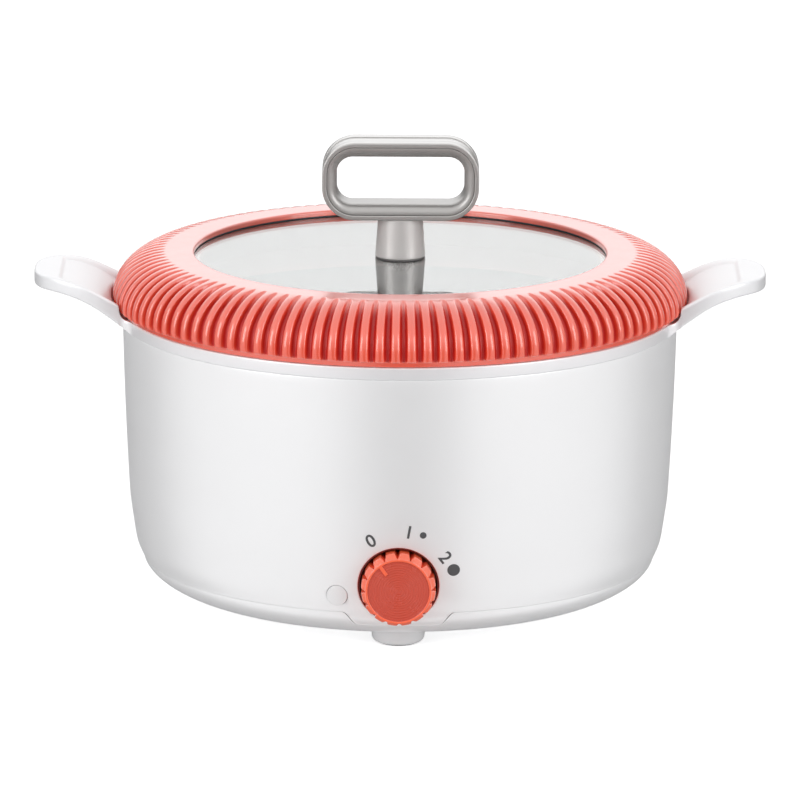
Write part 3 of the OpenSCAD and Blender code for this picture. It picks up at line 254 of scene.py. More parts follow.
def plastic(name, color, roughness, toneShift, glossShift=0.04, grain=2500, bump=(0.15, 0.02)):
    values = {"Color": rgb(*color), "Roughness": roughness, "Tone Shift": toneShift,
              "Gloss Shift": glossShift, "Grain Scale": grain}
    return finishMaterial(name, mouldedGroup, values, bump)


def metal(name, color, roughness, stretch=(900, 900, 40), bump=(0.2, 0.01)):
    values = {"Color": rgb(*color), "Roughness": roughness, "Stretch": stretch}
    material = finishMaterial(name, metalGroup, values, bump)
    material.node_tree.nodes["Principled BSDF"].inputs["Metallic"].default_value = 1
    return material


def glassMaterial():
    material, tree, shader = newMaterial("toughenedGlass")
    shader["Transmission Weight"].default_value = 1
    shader["IOR"].default_value = glass["ior"]
    shader["Base Color"].default_value = rgb(*glass["tint"])
    coords = tree.nodes.new("ShaderNodeTexCoord").outputs["Object"]
    haze = noiseNode(tree, coords, glass["hazeScale"], 4)
    tree.links.new(spread(tree, haze, 0.0, glass["haze"]), shader["Roughness"])
    return material


def paintValleyShade(material):  # painted shade: down in the flutes the colour is darkened to a deep red, and the coat ends
    tree = material.node_tree
    shader = tree.nodes["Principled BSDF"].inputs
    depth = tree.nodes.new("ShaderNodeAttribute")
    depth.attribute_name = "valley"
    share = rangeNode(tree, depth.outputs["Fac"], valley["start"], valley["full"])
    mix = tree.nodes.new("ShaderNodeMix")
    mix.data_type = "RGBA"
    tree.links.new(share, mix.inputs["Factor"])
    tree.links.new(shader["Base Color"].links[0].from_socket, mix.inputs["A"])
    # painted shade: the deep red mixed in where the flutes are deep
    mix.inputs["B"].default_value = rgb(*valley["color"])
    tree.links.new(mix.outputs["Result"], shader["Base Color"])
    tree.links.new(mathNode(tree, "SUBTRACT", 1, share), shader["Coat Weight"])


finishes = {name: plastic(name, *values) for name, values in plastics.items()}
finishes.update({name: metal(name, *values) for name, values in metals.items()})
finishes["glass"] = glassMaterial()
paintValleyShade(finishes["ringCoral"])
for finish, names in nodeFinish.items():
    for name in names:
        nodes[name].data.materials.clear()
        nodes[name].data.materials.append(finishes[finish])
print("finishes built,", len(finishes))


def smoothShade(mesh, angle):  # edges above the angle stay sharp
    mesh.polygons.foreach_set("use_smooth", [True] * len(mesh.polygons))
    mesh.set_sharp_from_angle(angle=math.radians(angle))


def place(name, bm, material, angle=35):
    bmesh.ops.remove_doubles(bm, verts=bm.verts, dist=1e-7)
    bmesh.ops.recalc_face_normals(bm, faces=bm.faces)
    mesh = bpy.data.meshes.new(name)
    bm.to_mesh(mesh)
    bm.free()
    mesh.materials.append(material)
    smoothShade(mesh, angle)
    obj = bpy.data.objects.new(name, mesh)
    scene.collection.objects.link(obj)
    return obj


def finalMesh(obj):  # the mesh after the modifiers, or of a text
    bpy.context.view_layer.update()
    return bpy.data.meshes.new_from_object(obj.evaluated_get(bpy.context.evaluated_depsgraph_get()))


def settle(obj):  # turns the modifiers' result into the object's own mesh
    mesh = finalMesh(obj)
    obj.modifiers.clear()
    obj.data = mesh


def seat(obj, body, slot, *replaced):
    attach(obj, body)
    if replaced:
        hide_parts(*replaced)


def fillet(points, steps=5):  # points are (x, y) or (x, y, radius), on a closed outline
    outline = []
    for k, point in enumerate(points):
        here = Vector(point[:2])
        radius = point[2] if len(point) > 2 else 0
        before = Vector(points[k - 1][:2]) - here
        after = Vector(points[(k + 1) % len(points)][:2]) - here
        turn = before.angle(after) if radius else math.pi
        if turn > math.pi - 0.01:
            outline.append(tuple(here))
            continue
        back = min(radius / math.tan(turn / 2), before.length * 0.49, after.length * 0.49)
        radius = back * math.tan(turn / 2)
        before.normalize()
        after.normalize()
        centre = here + (before + after).normalized() * (radius / math.sin(turn / 2))
        start, end = here + before * back - centre, here + after * back - centre
        sweep = start.angle_signed(end)
        for i in range(steps + 1):
            cosine, sine = math.cos(-sweep * i / steps), math.sin(-sweep * i / steps)
            outline.append((centre.x + start.x * cosine - start.y * sine,
                            centre.y + start.x * sine + start.y * cosine))
    return outline


def addRings(bm, rings, closed=True):  # quads between rings of points; a ring of one point is a pole
    rings = [[bm.verts.new(point) for point in line] for line in rings]
    pairs = list(zip(rings, rings[1:])) + ([(rings[-1], rings[0])] if closed else [])
    for low, high in pairs:
        count = max(len(low), len(high))
        if count == 1:
            continue
        for k in range(count):
            m = (k + 1) % count
            corners = [low[k % len(low)], low[m % len(low)], high[m % len(high)], high[k % len(high)]]
            bm.faces.new(list(dict.fromkeys(corners)))
    return rings


def ringPiece(name, rings, finish, angle=35, closed=True):
    bm = bmesh.new()
    addRings(bm, rings, closed)
    return place(name, bm, finishes[finish], angle)


def lathe(outline, count):  # rings from an outline of (radius, z) in mm
    return [[polar(r, t, z) for t in fullTurn(count)] for r, z in outline]


view = {
    "distance": 4.0, "elevation": 13.09, "lookHeight": 0.104,  # metres and degrees
    "lens": 343.67, "sensor": 36, "roll": 0.31, "shift": 0.0007, "clip": (0.5, 60),
}


def addCamera():
    tilt = math.radians(view["elevation"])
    data = bpy.data.cameras.new("photoCamera")
    data.lens = view["lens"]
    data.sensor_width = view["sensor"]
    data.shift_x = view["shift"]
    data.clip_start, data.clip_end = view["clip"]
    camera = bpy.data.objects.new("photoCamera", data)
    back = Vector((0, -math.cos(tilt), math.sin(tilt)))
    aim = (-back).to_track_quat("-Z", "Y").to_matrix() @ Matrix.Rotation(math.radians(view["roll"]), 3, "Z")
    spot = Vector((0, 0, view["lookHeight"])) + back * view["distance"]
    camera.matrix_world = Matrix.Translation(spot) @ aim.to_4x4()
    scene.collection.objects.link(camera)
    scene.camera = camera


studio = {
    "softboxes": {
        "left": {"place": (-1.75, -1.35, 0.95), "size": (1.1, 1.5), "watts": 18.6},
        "right": {"place": (1.75, -1.35, 0.95), "size": (1.1, 1.5), "watts": 17.4},
        "back": {"place": (0, 2.4, 0.95), "size": (3.4, 1.5), "watts": 12.5},
    },
    "aim": (0, 0, 0.1), "ambient": 0.44,
    "frontGap": (3, 9, 32),  # dark gap between the front softboxes: middle, half width and edge in degrees
    "backGap": (92, 130),  # degrees where the dark side behind the pot starts and is full
    "gapShade": 0.12, "gapTop": (0.0, 0.3),
    "roof": 1.7, "roofEdge": (0.35, 0.6),  # how much brighter reflections see the ceiling, and from where
    "floorGlow": 0.5, "floorFill": 0.27, "floorAlbedo": 0.8, "floorSize": 12,
}


def addLights():
    for name, light in studio["softboxes"].items():
        data = bpy.data.lights.new(name + "Softbox", "AREA")
        data.shape = "RECTANGLE"
        data.size, data.size_y = light["size"]
        data.energy = light["watts"]
        lamp = bpy.data.objects.new(name + "Softbox", data)
        spot = Vector(light["place"])
        lamp.location = spot
        lamp.rotation_euler = (Vector(studio["aim"]) - spot).to_track_quat("-Z", "Y").to_euler()
        lamp.visible_camera = False
        scene.collection.objects.link(lamp)


def addWorld():  # white room; low down, its reflection has a dark gap in front and a dark side behind
    world = bpy.data.worlds.new("whiteRoom")
    world.use_nodes = True
    tree = world.node_tree
    sky = tree.nodes["Background"].inputs
    sky["Color"].default_value = (1, 1, 1, 1)
    split = tree.nodes.new("ShaderNodeSeparateXYZ")
    tree.links.new(tree.nodes.new("ShaderNodeTexCoord").outputs["Generated"], split.inputs[0])
    x, y, z = split.outputs
    turn = mathNode(tree, "ARCTAN2", x, mathNode(tree, "MULTIPLY", y, -1))
    middle, half, edge = angles(*studio["frontGap"])
    off = mathNode(tree, "ABSOLUTE", mathNode(tree, "SUBTRACT", turn, middle))
    front = rangeNode(tree, off, half, edge, 1, 0)
    start, full = angles(*studio["backGap"])
    back = rangeNode(tree, mathNode(tree, "ABSOLUTE", turn), start, full)
    low = rangeNode(tree, z, *studio["gapTop"], 1, 0)
    dark = mathNode(tree, "MULTIPLY", mathNode(tree, "MAXIMUM", front, back), low)
    room = mathNode(tree, "MULTIPLY_ADD", dark, studio["gapShade"] - 1, 1)
    room = mathNode(tree, "MULTIPLY", room, rangeNode(tree, z, *studio["roofEdge"], 1, studio["roof"]))
    rays = tree.nodes.new("ShaderNodeLightPath").outputs
    seen = mathNode(tree, "MAXIMUM", rays["Is Camera Ray"], rays["Is Transmission Ray"])
    shown = mathNode(tree, "MULTIPLY", room, rays["Is Glossy Ray"])
    other = mathNode(tree, "SUBTRACT", 1, rays["Is Glossy Ray"])
    plain = mathNode(tree, "MULTIPLY", other, studio["ambient"])
    strength = mathNode(tree, "MAXIMUM", seen, mathNode(tree, "ADD", shown, plain))
    tree.links.new(strength, sky["Strength"])
    scene.world = world


def addFloor():  # white to the camera, and greyer to the light that it throws back
    bm = bmesh.new()
    size = studio["floorSize"]
    bm.faces.new([bm.verts.new((x * size, y * size, 0)) for x, y in ((-1, -1), (1, -1), (1, 1), (-1, 1))])
    material, tree, shader = newMaterial("paleFloor")
    shader["Roughness"].default_value = 1
    shader["Specular IOR Level"].default_value = 0
    shader["Emission Color"].default_value = (1, 1, 1, 1)
    rays = tree.nodes.new("ShaderNodeLightPath").outputs
    seen = mathNode(tree, "MAXIMUM", rays["Is Camera Ray"], rays["Is Glossy Ray"])
    seen = mathNode(tree, "MAXIMUM", seen, rays["Is Transmission Ray"])
    mix = tree.nodes.new("ShaderNodeMix")
    mix.data_type = "RGBA"
    tree.links.new(seen, mix.inputs["Factor"])
    mix.inputs["A"].default_value = (studio["floorAlbedo"],) * 3 + (1,)
    mix.inputs["B"].default_value = (1, 1, 1, 1)
    tree.links.new(mix.outputs["Result"], shader["Base Color"])
    fill = studio["floorFill"]
    glow = mathNode(tree, "MULTIPLY_ADD", seen, studio["floorGlow"] - fill, fill)
    tree.links.new(glow, shader["Emission Strength"])
    floor = place("floor", bm, material)
    floor.visible_glossy = False


addCamera()
addLights()
addWorld()
addFloor()
scene.view_settings.view_transform = "Standard"
print("camera, light and floor set")

ring = {  # the fluted ring of the lid; sizes in mm, here and below
    "ribCount": 115, "fluteDepth": 3.7, "cutter": 1.75, "crest": 1.25, "radius": reach("trim_ring"),
    "flank": 29.0, "belly": 6.0, "window": 107.5, "lip": 1.2, "rebate": 139.5, "step": 3.4,
    "seat": level("glass_pane", 1) + 0.6, "sealRadius": 118.4,
    "bottom": level("trim_ring", 0) - 0.42, "top": level("trim_ring", 1),
    "tip": 86, "full": 50, "rows": 17,  # degrees where the flutes start and are full
    "foot": 3.4, "footRound": 1.8, "draft": 0.25, "weld": 0.02,
}


def fluteColumns():  # (way from the valley's middle, depth) over half a rib: round groove, then the crest
    nose, crest = ring["cutter"], ring["crest"]
    half = math.pi * ring["radius"] / ring["ribCount"]
    points = [(nose * math.sin(a) / half, ring["fluteDepth"] - nose * (1 - math.cos(a)))
              for a in angles(0, 18, 37, 56, 76)]
    points += [(1 - (1 - (nose + 0.1) / half) * math.cos(a), crest * (1 - math.sin(a)))
               for a in angles(0, 15, 30, 46, 66, 90)]
    return points


def ribRows():  # (radius, z, inward direction of the flute, share of its depth), from the window outwards
    outer, window, lip, top, bottom = [ring[key] for key in ("radius", "window", "lip", "top", "bottom")]
    flank, deep, foot, turn = [ring[key] for key in ("flank", "fluteDepth", "foot", "footRound")]
    crown = outer - flank
    bellyZ = level("trim_ring", 0) + ring["belly"]
    height = top - bellyZ
    rows = [(window, ring["seat"])]
    rows += [(window + lip * (1 - math.cos(a)), top - lip * (1 - math.sin(a)))
             for a in angles(0, 22, 45, 68, 90)]
    rows += [(window + (crown - window) * t, top) for t in (0.3, 0.6, 0.85, 1)]
    rows = [(r, z, (0, -1), None) for r, z in rows]
    for k in range(ring["rows"] + 1):  # rows lie closer where the flutes begin
        degrees = 88 * (1 - (k / ring["rows"]) ** 1.7)
        a = math.radians(degrees)
        inward = -Vector((math.cos(a) / flank, math.sin(a) / height)).normalized()
        ramp = clamp((ring["tip"] - degrees) / (ring["tip"] - ring["full"]))
        r, z = crown + flank * math.cos(a), bellyZ + height * math.sin(a)
        rows.append((r, z, tuple(inward), ramp ** 0.6))
    ledge = outer - deep
    side = [(outer - ring["draft"] * (k / 3) ** 2, bellyZ - (foot - turn) * k / 3) for k in (1, 2, 3)]
    side += [(outer - ring["draft"] - (turn + 0.1) * (1 - math.cos(a)),
              bellyZ - foot + turn * (1 - math.sin(a)))
             for a in angles(18, 36, 54, 72, 90)]  # round foot of each rib
    rows += [(r, z, (-1, 0), (r - ledge) / deep) for r, z in side]
    rows += [(ledge + 0.35, bellyZ - foot - 0.1, (-1, 0), 0), (ledge, bellyZ - foot - 0.55, (-1, 0), 0)]
    rebate, roof = ring["rebate"], bottom + ring["step"]
    rows += [(r, z, (-1, 0), None) for r, z in (
        (ledge - 0.5, bottom + 0.9), (ledge - 0.9, bottom + 0.3), (ledge - 1.8, bottom), (rebate, bottom),
        (rebate, roof), (rebate - 3, roof), (outer - 9.6, bottom + ring["belly"] * 2), (crown + 9, top - 7.2),
        (ring["sealRadius"] + 0.6, ring["seat"]))]
    return rows


def buildRib():
    pitch = 2 * math.pi / ring["ribCount"]
    half = fluteColumns()
    fine = [(x - 1, depth) for x, depth in half] + [(1 - x, depth) for x, depth in reversed(half[:-1])]
    plain = [(-1, 0), (0, 0), (1, 0)]
    deep, crest = ring["fluteDepth"], ring["crest"]
    bm = bmesh.new()
    # each point's depth in its flute, which the ring's material turns into painted shade
    sunkLayer = bm.verts.layers.float.new("valley")
    grid = []
    for r, z, inward, amount in ribRows():
        line = []
        share = amount or 0
        for u, depth in plain if amount is None else fine:
            rest = min(depth, crest) * share ** 2
            sunk = max(rest, depth - (1 - share) * deep) if depth > crest else rest
            vert = bm.verts.new(polar(r + inward[0] * sunk, u * pitch / 2, z + inward[1] * sunk))
            vert[sunkLayer] = sunk / deep
            line.append(vert)
        grid.append(line)
    middle = len(half) - 1
    for low, high in zip(grid, grid[1:] + grid[:1]):
        if len(low) == len(high):
            for c in range(len(low) - 1):
                bm.faces.new((low[c], low[c + 1], high[c + 1], high[c]))
            continue
        many, few = (low, high) if len(low) > len(high) else (high, low)
        bm.faces.new(many[:middle + 1] + [few[1], few[0]])
        bm.faces.new(many[middle:] + [few[2], few[1]])
    return place("lidRing", bm, finishes["ringCoral"], 80)


def ringTree():
    tree = bpy.data.node_groups.new("ribsRoundRing", "GeometryNodeTree")
    for title, kind in (("Geometry", "Geometry"), ("Rib Count", "Int"), ("Weld Distance", "Float"),
                        ("Finish", "Material")):
        tree.interface.new_socket(title, in_out="INPUT", socket_type="NodeSocket" + kind)
    tree.interface.new_socket("Geometry", in_out="OUTPUT", socket_type="NodeSocketGeometry")
    given, out = tree.nodes.new("NodeGroupInput").outputs, tree.nodes.new("NodeGroupOutput")
    points, instances, index, realize, merge, material = [tree.nodes.new("GeometryNode" + kind) for kind in (
        "Points", "InstanceOnPoints", "InputIndex", "RealizeInstances", "MergeByDistance", "SetMaterial")]
    vector = tree.nodes.new("ShaderNodeCombineXYZ")
    share = mathNode(tree, "DIVIDE", index.outputs[0], given["Rib Count"])
    for source, socket in (
            (given["Rib Count"], points.inputs["Count"]), (points.outputs[0], instances.inputs["Points"]),
            (given["Geometry"], instances.inputs["Instance"]),
            (mathNode(tree, "MULTIPLY", share, 2 * math.pi), vector.inputs["Z"]),
            (vector.outputs[0], instances.inputs["Rotation"]), (instances.outputs[0], realize.inputs[0]),
            (realize.outputs[0], merge.inputs["Geometry"]),
            (given["Weld Distance"], merge.inputs["Distance"]),
            (merge.outputs[0], material.inputs["Geometry"]),
            (given["Finish"], material.inputs["Material"]), (material.outputs[0], out.inputs[0])):
        tree.links.new(source, socket)
    return tree


def buildRing():  # Geometry Nodes sets the one rib round the ring
    piece = buildRib()
    modifier = piece.modifiers.new("build", "NODES")
    modifier.node_group = ringTree()
    values = {"Rib Count": ring["ribCount"], "Weld Distance": ring["weld"] * mm,
              "Finish": finishes["ringCoral"]}
    for item in modifier.node_group.interface.items_tree:
        if item.in_out == "INPUT" and item.name in values:
            modifier[item.identifier] = values[item.name]
    settle(piece)
    seat(piece, "lid", "ring_coral", "trim_ring")


buildRing()
print("fluted ring built")

loop = {  # the lid's handle: two frames, the band between them and the hollow liner
    "base": level("handle_front", 0) - 1.0, "width": 81.6, "height": 41.0, "depth": 24.4,
    "corner": 17.3, "cornerFall": 1.18, "tall": 1.066, "cornerPoints": 20, "frame": 2.4, "band": 10.0,
    "bandStep": 0.3, "bevelWidth": 5.2, "bevelDepth": 5.5, "bevelSteps": 14, "lip": 0.5, "linerBack": 0.2,
    "edge": 0.75, "innerEdge": 0.5, "seam": 0.3,
}
stem = {
    "bottom": level("handle_stem", 0), "top": loop["base"] + 0.3, "footRadius": 13.2, "topRadius": 11.6,
    "footEdge": 0.5, "bore": 3.0, "columns": 96,
}


def loopRing(inset, y):  # points round the loop's outline, drawn in by inset
    radius = loop["corner"] - loop["cornerFall"] * inset
    middle = loop["base"] + loop["height"] / 2
    x = loop["width"] / 2 - inset - radius
    z = loop["height"] / 2 - loop["tall"] * inset - radius
    points = []
    for corner, (sx, sz) in enumerate(((1, 1), (-1, 1), (-1, -1), (1, -1))):
        for k in range(loop["cornerPoints"]):
            a = math.pi / 2 * (corner + k / (loop["cornerPoints"] - 1))
            points.append(((sx * x + radius * math.cos(a)) * mm, y * mm,
                           (middle + sz * z + radius * math.sin(a)) * mm))
    return points


def loopPiece(name, profile, finish):  # the profile is (inset, y)
    return ringPiece(name, [loopRing(inset, y) for inset, y in profile], finish, 32)


def turned(profile):  # the same for the back of the loop
    return [(inset, -y) for inset, y in profile]


def buildHandle():
    face, half, wall = loop["depth"] / 2, loop["band"] / 2, loop["frame"]
    step, seam, lip = loop["bandStep"], loop["seam"], loop["lip"]
    outline = [(0, -half, seam), (0, -face, loop["edge"]), (wall, -face, loop["innerEdge"]), (wall, -half)]
    outline = fillet(outline, 6)
    seat(loopPiece("handleFrontFrame", outline, "handleGrey"), "lid", "handle_grey", "handle_front")
    seat(loopPiece("handleBackFrame", turned(outline), "handleGrey"), "lid", "handle_grey", "handle_back")
    band = fillet([(step, half, seam), (step, -half, seam), (wall, -half), (wall, half)], 4)
    seat(loopPiece("handleMiddleBand", band, "handleGrey"), "lid", "handle_inner_grey", "handle_band")
    hole, front = wall + loop["bevelWidth"], loop["linerBack"] - face
    bevel = [(wall + 0.05, 1.1 - face), (wall + 0.1, 0.75 - face), (wall + 0.25, 0.4 - face),
             (wall + lip, front)]
    for k in range(1, loop["bevelSteps"] + 1):
        a = math.pi / 2 * k / loop["bevelSteps"]
        bevel.append((hole - (loop["bevelWidth"] - lip) * (1 - math.sin(a)),
                      front + loop["bevelDepth"] * (1 - math.cos(a))))
    liner = bevel + [(hole, y) for y in (-3, 0, 3)] + turned(reversed(bevel))
    seat(loopPiece("handleLiner", liner, "linerGrey"), "lid", "handle_inner_grey", "handle_liner")


def buildStem():
    bottom, top, foot, bore = stem["bottom"], stem["top"], stem["footRadius"], stem["bore"]
    sides = [(foot + (stem["topRadius"] - foot) * t ** 0.85, bottom + (top - bottom) * t)
             for t in (0.12, 0.3, 0.5, 0.7, 0.88)]
    outline = fillet([(bore, bottom), (foot, bottom, stem["footEdge"]), *sides, (stem["topRadius"], top),
                      (bore, top)])
    piece = ringPiece("handleStem", lathe(outline, stem["columns"]), "stemGrey")
    seat(piece, "lid", "handle_grey", "handle_stem")


buildHandle()
buildStem()
print("lid handle built")

knob = {  # a toothed drum with a rim, a turned face and a pointer
    "front": -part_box("control_knob")[0].y / mm, "axis": 39.0, "length": 23.0, "radius": 19.0, "rim": 16.9,
    "rimWidth": 1.2, "rimRound": (0.45, 0.4), "teeth": 16, "topWidth": 4.5, "rootWidth": 7.2, "slope": 4.2,
    "edge": 0.35, "columns": 28, "recess": 0.6, "faceThick": 1.2, "faceColumns": 160, "groovePitch": 1.25,
    "grooveDepth": 0.2, "pointerAngle": 35.5, "pointerLength": 5.4, "pointerWidth": 1.7, "shaft": 3.0,
    "hub": 6.5, "hubDepth": 4,
}


def knobPoint(radius, angle, depth):  # depth is measured back from the knob's front, angle from the top
    return (-radius * math.sin(angle) * mm, (depth - knob["front"]) * mm,
            (knob["axis"] + radius * math.cos(angle)) * mm)


def toothHeight(angle, widen):  # 0 in the gaps and 1 on the teeth, with rounded shoulders
    pitch = 2 * math.pi / knob["teeth"]
    off = abs((angle - math.radians(knob["pointerAngle"]) + pitch / 2) % pitch - pitch / 2) * knob["radius"]
    top, root = (knob["topWidth"] + widen) / 2, (knob["rootWidth"] + widen) / 2
    t = clamp((root - off) / (root - top))
    return smooth(t) * 0.35 + t * 0.65


def buildKnob():
    turns = fullTurn(knob["teeth"] * knob["columns"])
    rim, slope, edge, length = knob["rim"], knob["slope"], knob["edge"], knob["length"]
    floor, full = rim - edge, knob["radius"] - rim + edge
    rows = [(length, 0.8), (length - 0.5, 1), (slope + 6, 1), (slope + 1.2, 1), (slope + edge, 0.985),
            (slope, 0.95), (slope - edge, 0.88)]
    rows += [(0.7 + (slope - 1.2) * t, 0.13 + 0.72 * t) for t in (0.75, 0.5, 0.25)]
    rows += [(0.75, 0.14), (0.6, 0.13), (0.45, 0.13)]
    rings = []
    for depth, share in rows:  # in front of the teeth the drum is round
        shares = [min(toothHeight(t, edge * (1 - share)), share) if depth > 0.7 else share for t in turns]
        rings.append([knobPoint(floor + full * rise, t, depth) for rise, t in zip(shares, turns)])
    inner, back, hub = rim - knob["rimWidth"], knob["recess"] + knob["faceThick"], length - knob["hubDepth"]
    outside, inside = knob["rimRound"]
    quarter = [math.pi / 2 * k / 4 for k in range(5)]
    profile = [(rim - outside * (1 - math.cos(a)), outside * (1 - math.sin(a))) for a in quarter[1:]]
    profile += [(inner + inside * (1 - math.sin(a)), inside * (1 - math.cos(a))) for a in quarter]
    profile += [(inner, back), (knob["shaft"], back), (knob["shaft"], hub), (knob["hub"], hub),
                (knob["hub"], length)]
    rings += [[knobPoint(r, t, depth) for t in turns] for r, depth in profile]
    seat(ringPiece("controlKnob", rings, "knobCoral", 40), "knob", "knob_coral", "control_knob")


def buildFace():
    radius = knob["rim"] - knob["rimWidth"] - 0.02
    front, back = knob["recess"], knob["recess"] + knob["faceThick"]
    pitch, deep = knob["groovePitch"], knob["grooveDepth"]
    steps = int(radius / pitch) * 8
    outline = [(0, back), (radius, back), (radius, front - 0.3), (radius - 0.12, front - 0.12),
               (radius - 0.35, front)]
    for k in range(steps):
        r = (radius - 0.4) * (1 - k / steps)
        outline.append((r, front + deep * (0.5 - 0.5 * math.cos(2 * math.pi * r / pitch))))
    outline.append((0, front))
    rings = [[knobPoint(r, t, depth) for t in fullTurn(knob["faceColumns"] if r else 1)]
             for r, depth in outline]
    seat(ringPiece("knobFace", rings, "faceRed", 60, False), "knob", "knob_face_red", "knob_face")


def buildPointer():
    angle = math.radians(knob["pointerAngle"])
    outer = knob["rim"] - knob["rimWidth"] + 0.1
    inner = outer - knob["pointerLength"]
    half, back = knob["pointerWidth"] / 2, knob["recess"] + knob["grooveDepth"] + 0.02
    rings = []
    for inset, depth in ((0, back), (0, 0.2), (0.14, 0.05), (0.4, 0.02)):
        line = []
        for x, up in ((-half, inner), (half, inner), (half, outer), (-half, outer)):
            x, up = x - math.copysign(inset, x), up + (inset if up == inner else 0)
            line.append((-(x * math.cos(angle) + up * math.sin(angle)) * mm, (depth - knob["front"]) * mm,
                         (knob["axis"] + up * math.cos(angle) - x * math.sin(angle)) * mm))
        rings.append(line)
    bm = bmesh.new()
    addRings(bm, rings, False)
    bmesh.ops.holes_fill(bm, edges=bm.edges)
    seat(place("knobPointer", bm, finishes["knobCoral"], 30), "knob", "knob_coral", "knob_pointer")


buildKnob()
buildFace()
buildPointer()
print("control knob built")

ear = {  # a handle that grows out of the rim collar
    "tip": reach("rim_collar"), "crest": level("rim_collar", 1), "floor": level("outer_shell", 1) + 0.05,
    "planLength": 70.6, "halfWidth": 41.0, "power": 3.0, "planTurn": (77.3, 76.6), "lines": 64,
    "corner": 8.0, "cornerSteps": 12, "crestIn": 6.6, "thick": 7.3, "bend": 52.0, "slope": 34.5,
    "topSlope": 27.0, "crease": 8.2, "scoop": 1.2, "pad": 14.0, "padRamp": 2.6, "rounding": 1.5,
    "gap": 0.8, "ringFoot": 5.6, "clear": 1.6, "straightFrom": 146, "straightOver": 26,
    "arcs": (145.32, 145.6, 146.1, 146.8, 147.6, 148.5, 149.3, 150.0, 150.5, 150.74),
    "edgeRows": (0, 0.12, 0.4, 0.85, 1.5, 2.6, 4, 5.4, 6.6, 7.4, 7.95, 8.35, 9.2), "middleRows": 9,
}
collar = {
    "radius": 145.3, "top": 154.3, "bottom": level("outer_shell", 1), "edge": 1.0, "skirt": 141.8,
    "skirtBottom": 140.0, "bead": 139.3, "ledge": 151.5, "bore": 131.7, "wall": 2.0, "columns": 288,
}


def earFall(x, radius, slope):  # an arc from the crest that runs out in a straight slope
    off = max(0, ear["tip"] - ear["crestIn"] - x)
    bend = math.radians(slope)
    if off < radius * math.sin(bend):
        return radius - math.sqrt(radius * radius - off * off)
    return radius * (1 - math.cos(bend)) + (off - radius * math.sin(bend)) * math.tan(bend)


def edgeFall(radius, inset):  # how far a rounded edge lies below its face
    return radius - math.sqrt(radius ** 2 - max(0, radius - inset) ** 2)


def earTop(x, inset):  # crowned border, crease, scooped floor and thumb pad
    border = ear["crest"] - earFall(x, ear["bend"] + ear["thick"], ear["topSlope"])
    floor = ear["crest"] - ear["scoop"] - earFall(x, ear["bend"], ear["slope"])
    ramp = smooth((ear["tip"] - ear["pad"] + 0.8 - x) / ear["padRamp"])
    share = clamp((inset - 2) / (ear["crease"] - 2)) ** 2.2 * ramp
    return border + (floor - border) * share - edgeFall(ear["rounding"], inset)


def earBottom(x, inset):
    low = ear["crest"] - ear["thick"] - earFall(x, ear["bend"], ear["slope"])
    return max(ear["floor"], low) + edgeFall(ear["rounding"] * 0.8, inset)


def gapHeight(radius):  # the room kept free under the lid's ring
    share = clamp((radius - ring["radius"] - ear["gap"] + ear["ringFoot"]) / ear["ringFoot"])
    height = ring["bottom"] + ring["belly"] - collar["top"]
    return collar["top"] + height * (1 - math.sqrt(max(0, 1 - share * share)))


def earOutline():  # (x, y) of the front edge, y < 0: the corner at the collar, then the side to the tip
    start, r, power = ear["tip"] - ear["planLength"], ear["corner"], 2 / ear["power"]
    first, sweep = ear["planTurn"]
    side = []
    for k in range(ear["lines"] + 1):
        a = math.radians(first - sweep * k / ear["lines"])
        side.append((start + ear["planLength"] * math.cos(a) ** power,
                     -ear["halfWidth"] * math.sin(a) ** power))
    y = r - side[0][1]
    x = math.sqrt((collar["radius"] + r) ** 2 - y * y)
    end = math.atan2(y, x)
    corner = []
    for k in range(ear["cornerSteps"]):
        a = math.pi + end + (math.pi / 2 - end) * k / ear["cornerSteps"]
        corner.append((x + r * math.cos(a), -y - r * math.sin(a)))
    return corner, side


def across(half):  # plan points from the front edge to the middle, and on to the back edge
    return half + [(x, -y, d) for x, y, d in reversed(half[:-1])]


def earArc(edge, radius):  # (x, y, way in from the edge) on an arc round the pot's axis
    for (x1, y1), (x2, y2) in zip(edge, edge[1:]):
        r1, r2 = math.hypot(x1, y1), math.hypot(x2, y2)
        if (r1 - radius) * (r2 - radius) <= 0 and r1 != r2:
            t = (radius - r1) / (r2 - r1)
            turn = math.atan2(y1 + (y2 - y1) * t, x1 + (x2 - x1) * t)
            break
    last, count = ear["edgeRows"][-1], ear["middleRows"] + 1
    ways = list(ear["edgeRows"])
    ways += [last + (abs(turn) * radius - last) * k / count for k in range(1, count + 1)]
    half = [(radius * math.cos(turn + d / radius), radius * math.sin(turn + d / radius), d) for d in ways]
    return across(half)


def earCross(x0, y0, direction, bulge):  # the same on a line from the edge, bulged towards the tip
    half = [(x0 + direction.x * d, y0 + direction.y * d, d) for d in ear["edgeRows"]]
    x, y, last = half[-1]
    count = ear["middleRows"] + 1
    for k in range(1, count + 1):
        t = k / count
        half.append((x + bulge * (1 - (1 - t) ** 2), y * (1 - t), last + abs(y) * t))
    return across(half)


def earLine(plan, roundShare=1, drop=0, capped=False):  # adds the heights of the top and the bottom
    line = []
    for x, y, d in plan:
        top = earTop(x, d) - drop
        if capped:  # under the ring, with a slightly rounded front edge
            top = min(gapHeight(math.hypot(x, y)), top) - 0.4 * max(0, 1 - d / 0.5) ** 2
        line.append((x, y, top, earBottom(x, d * roundShare + 9 * (1 - roundShare))))
    return line


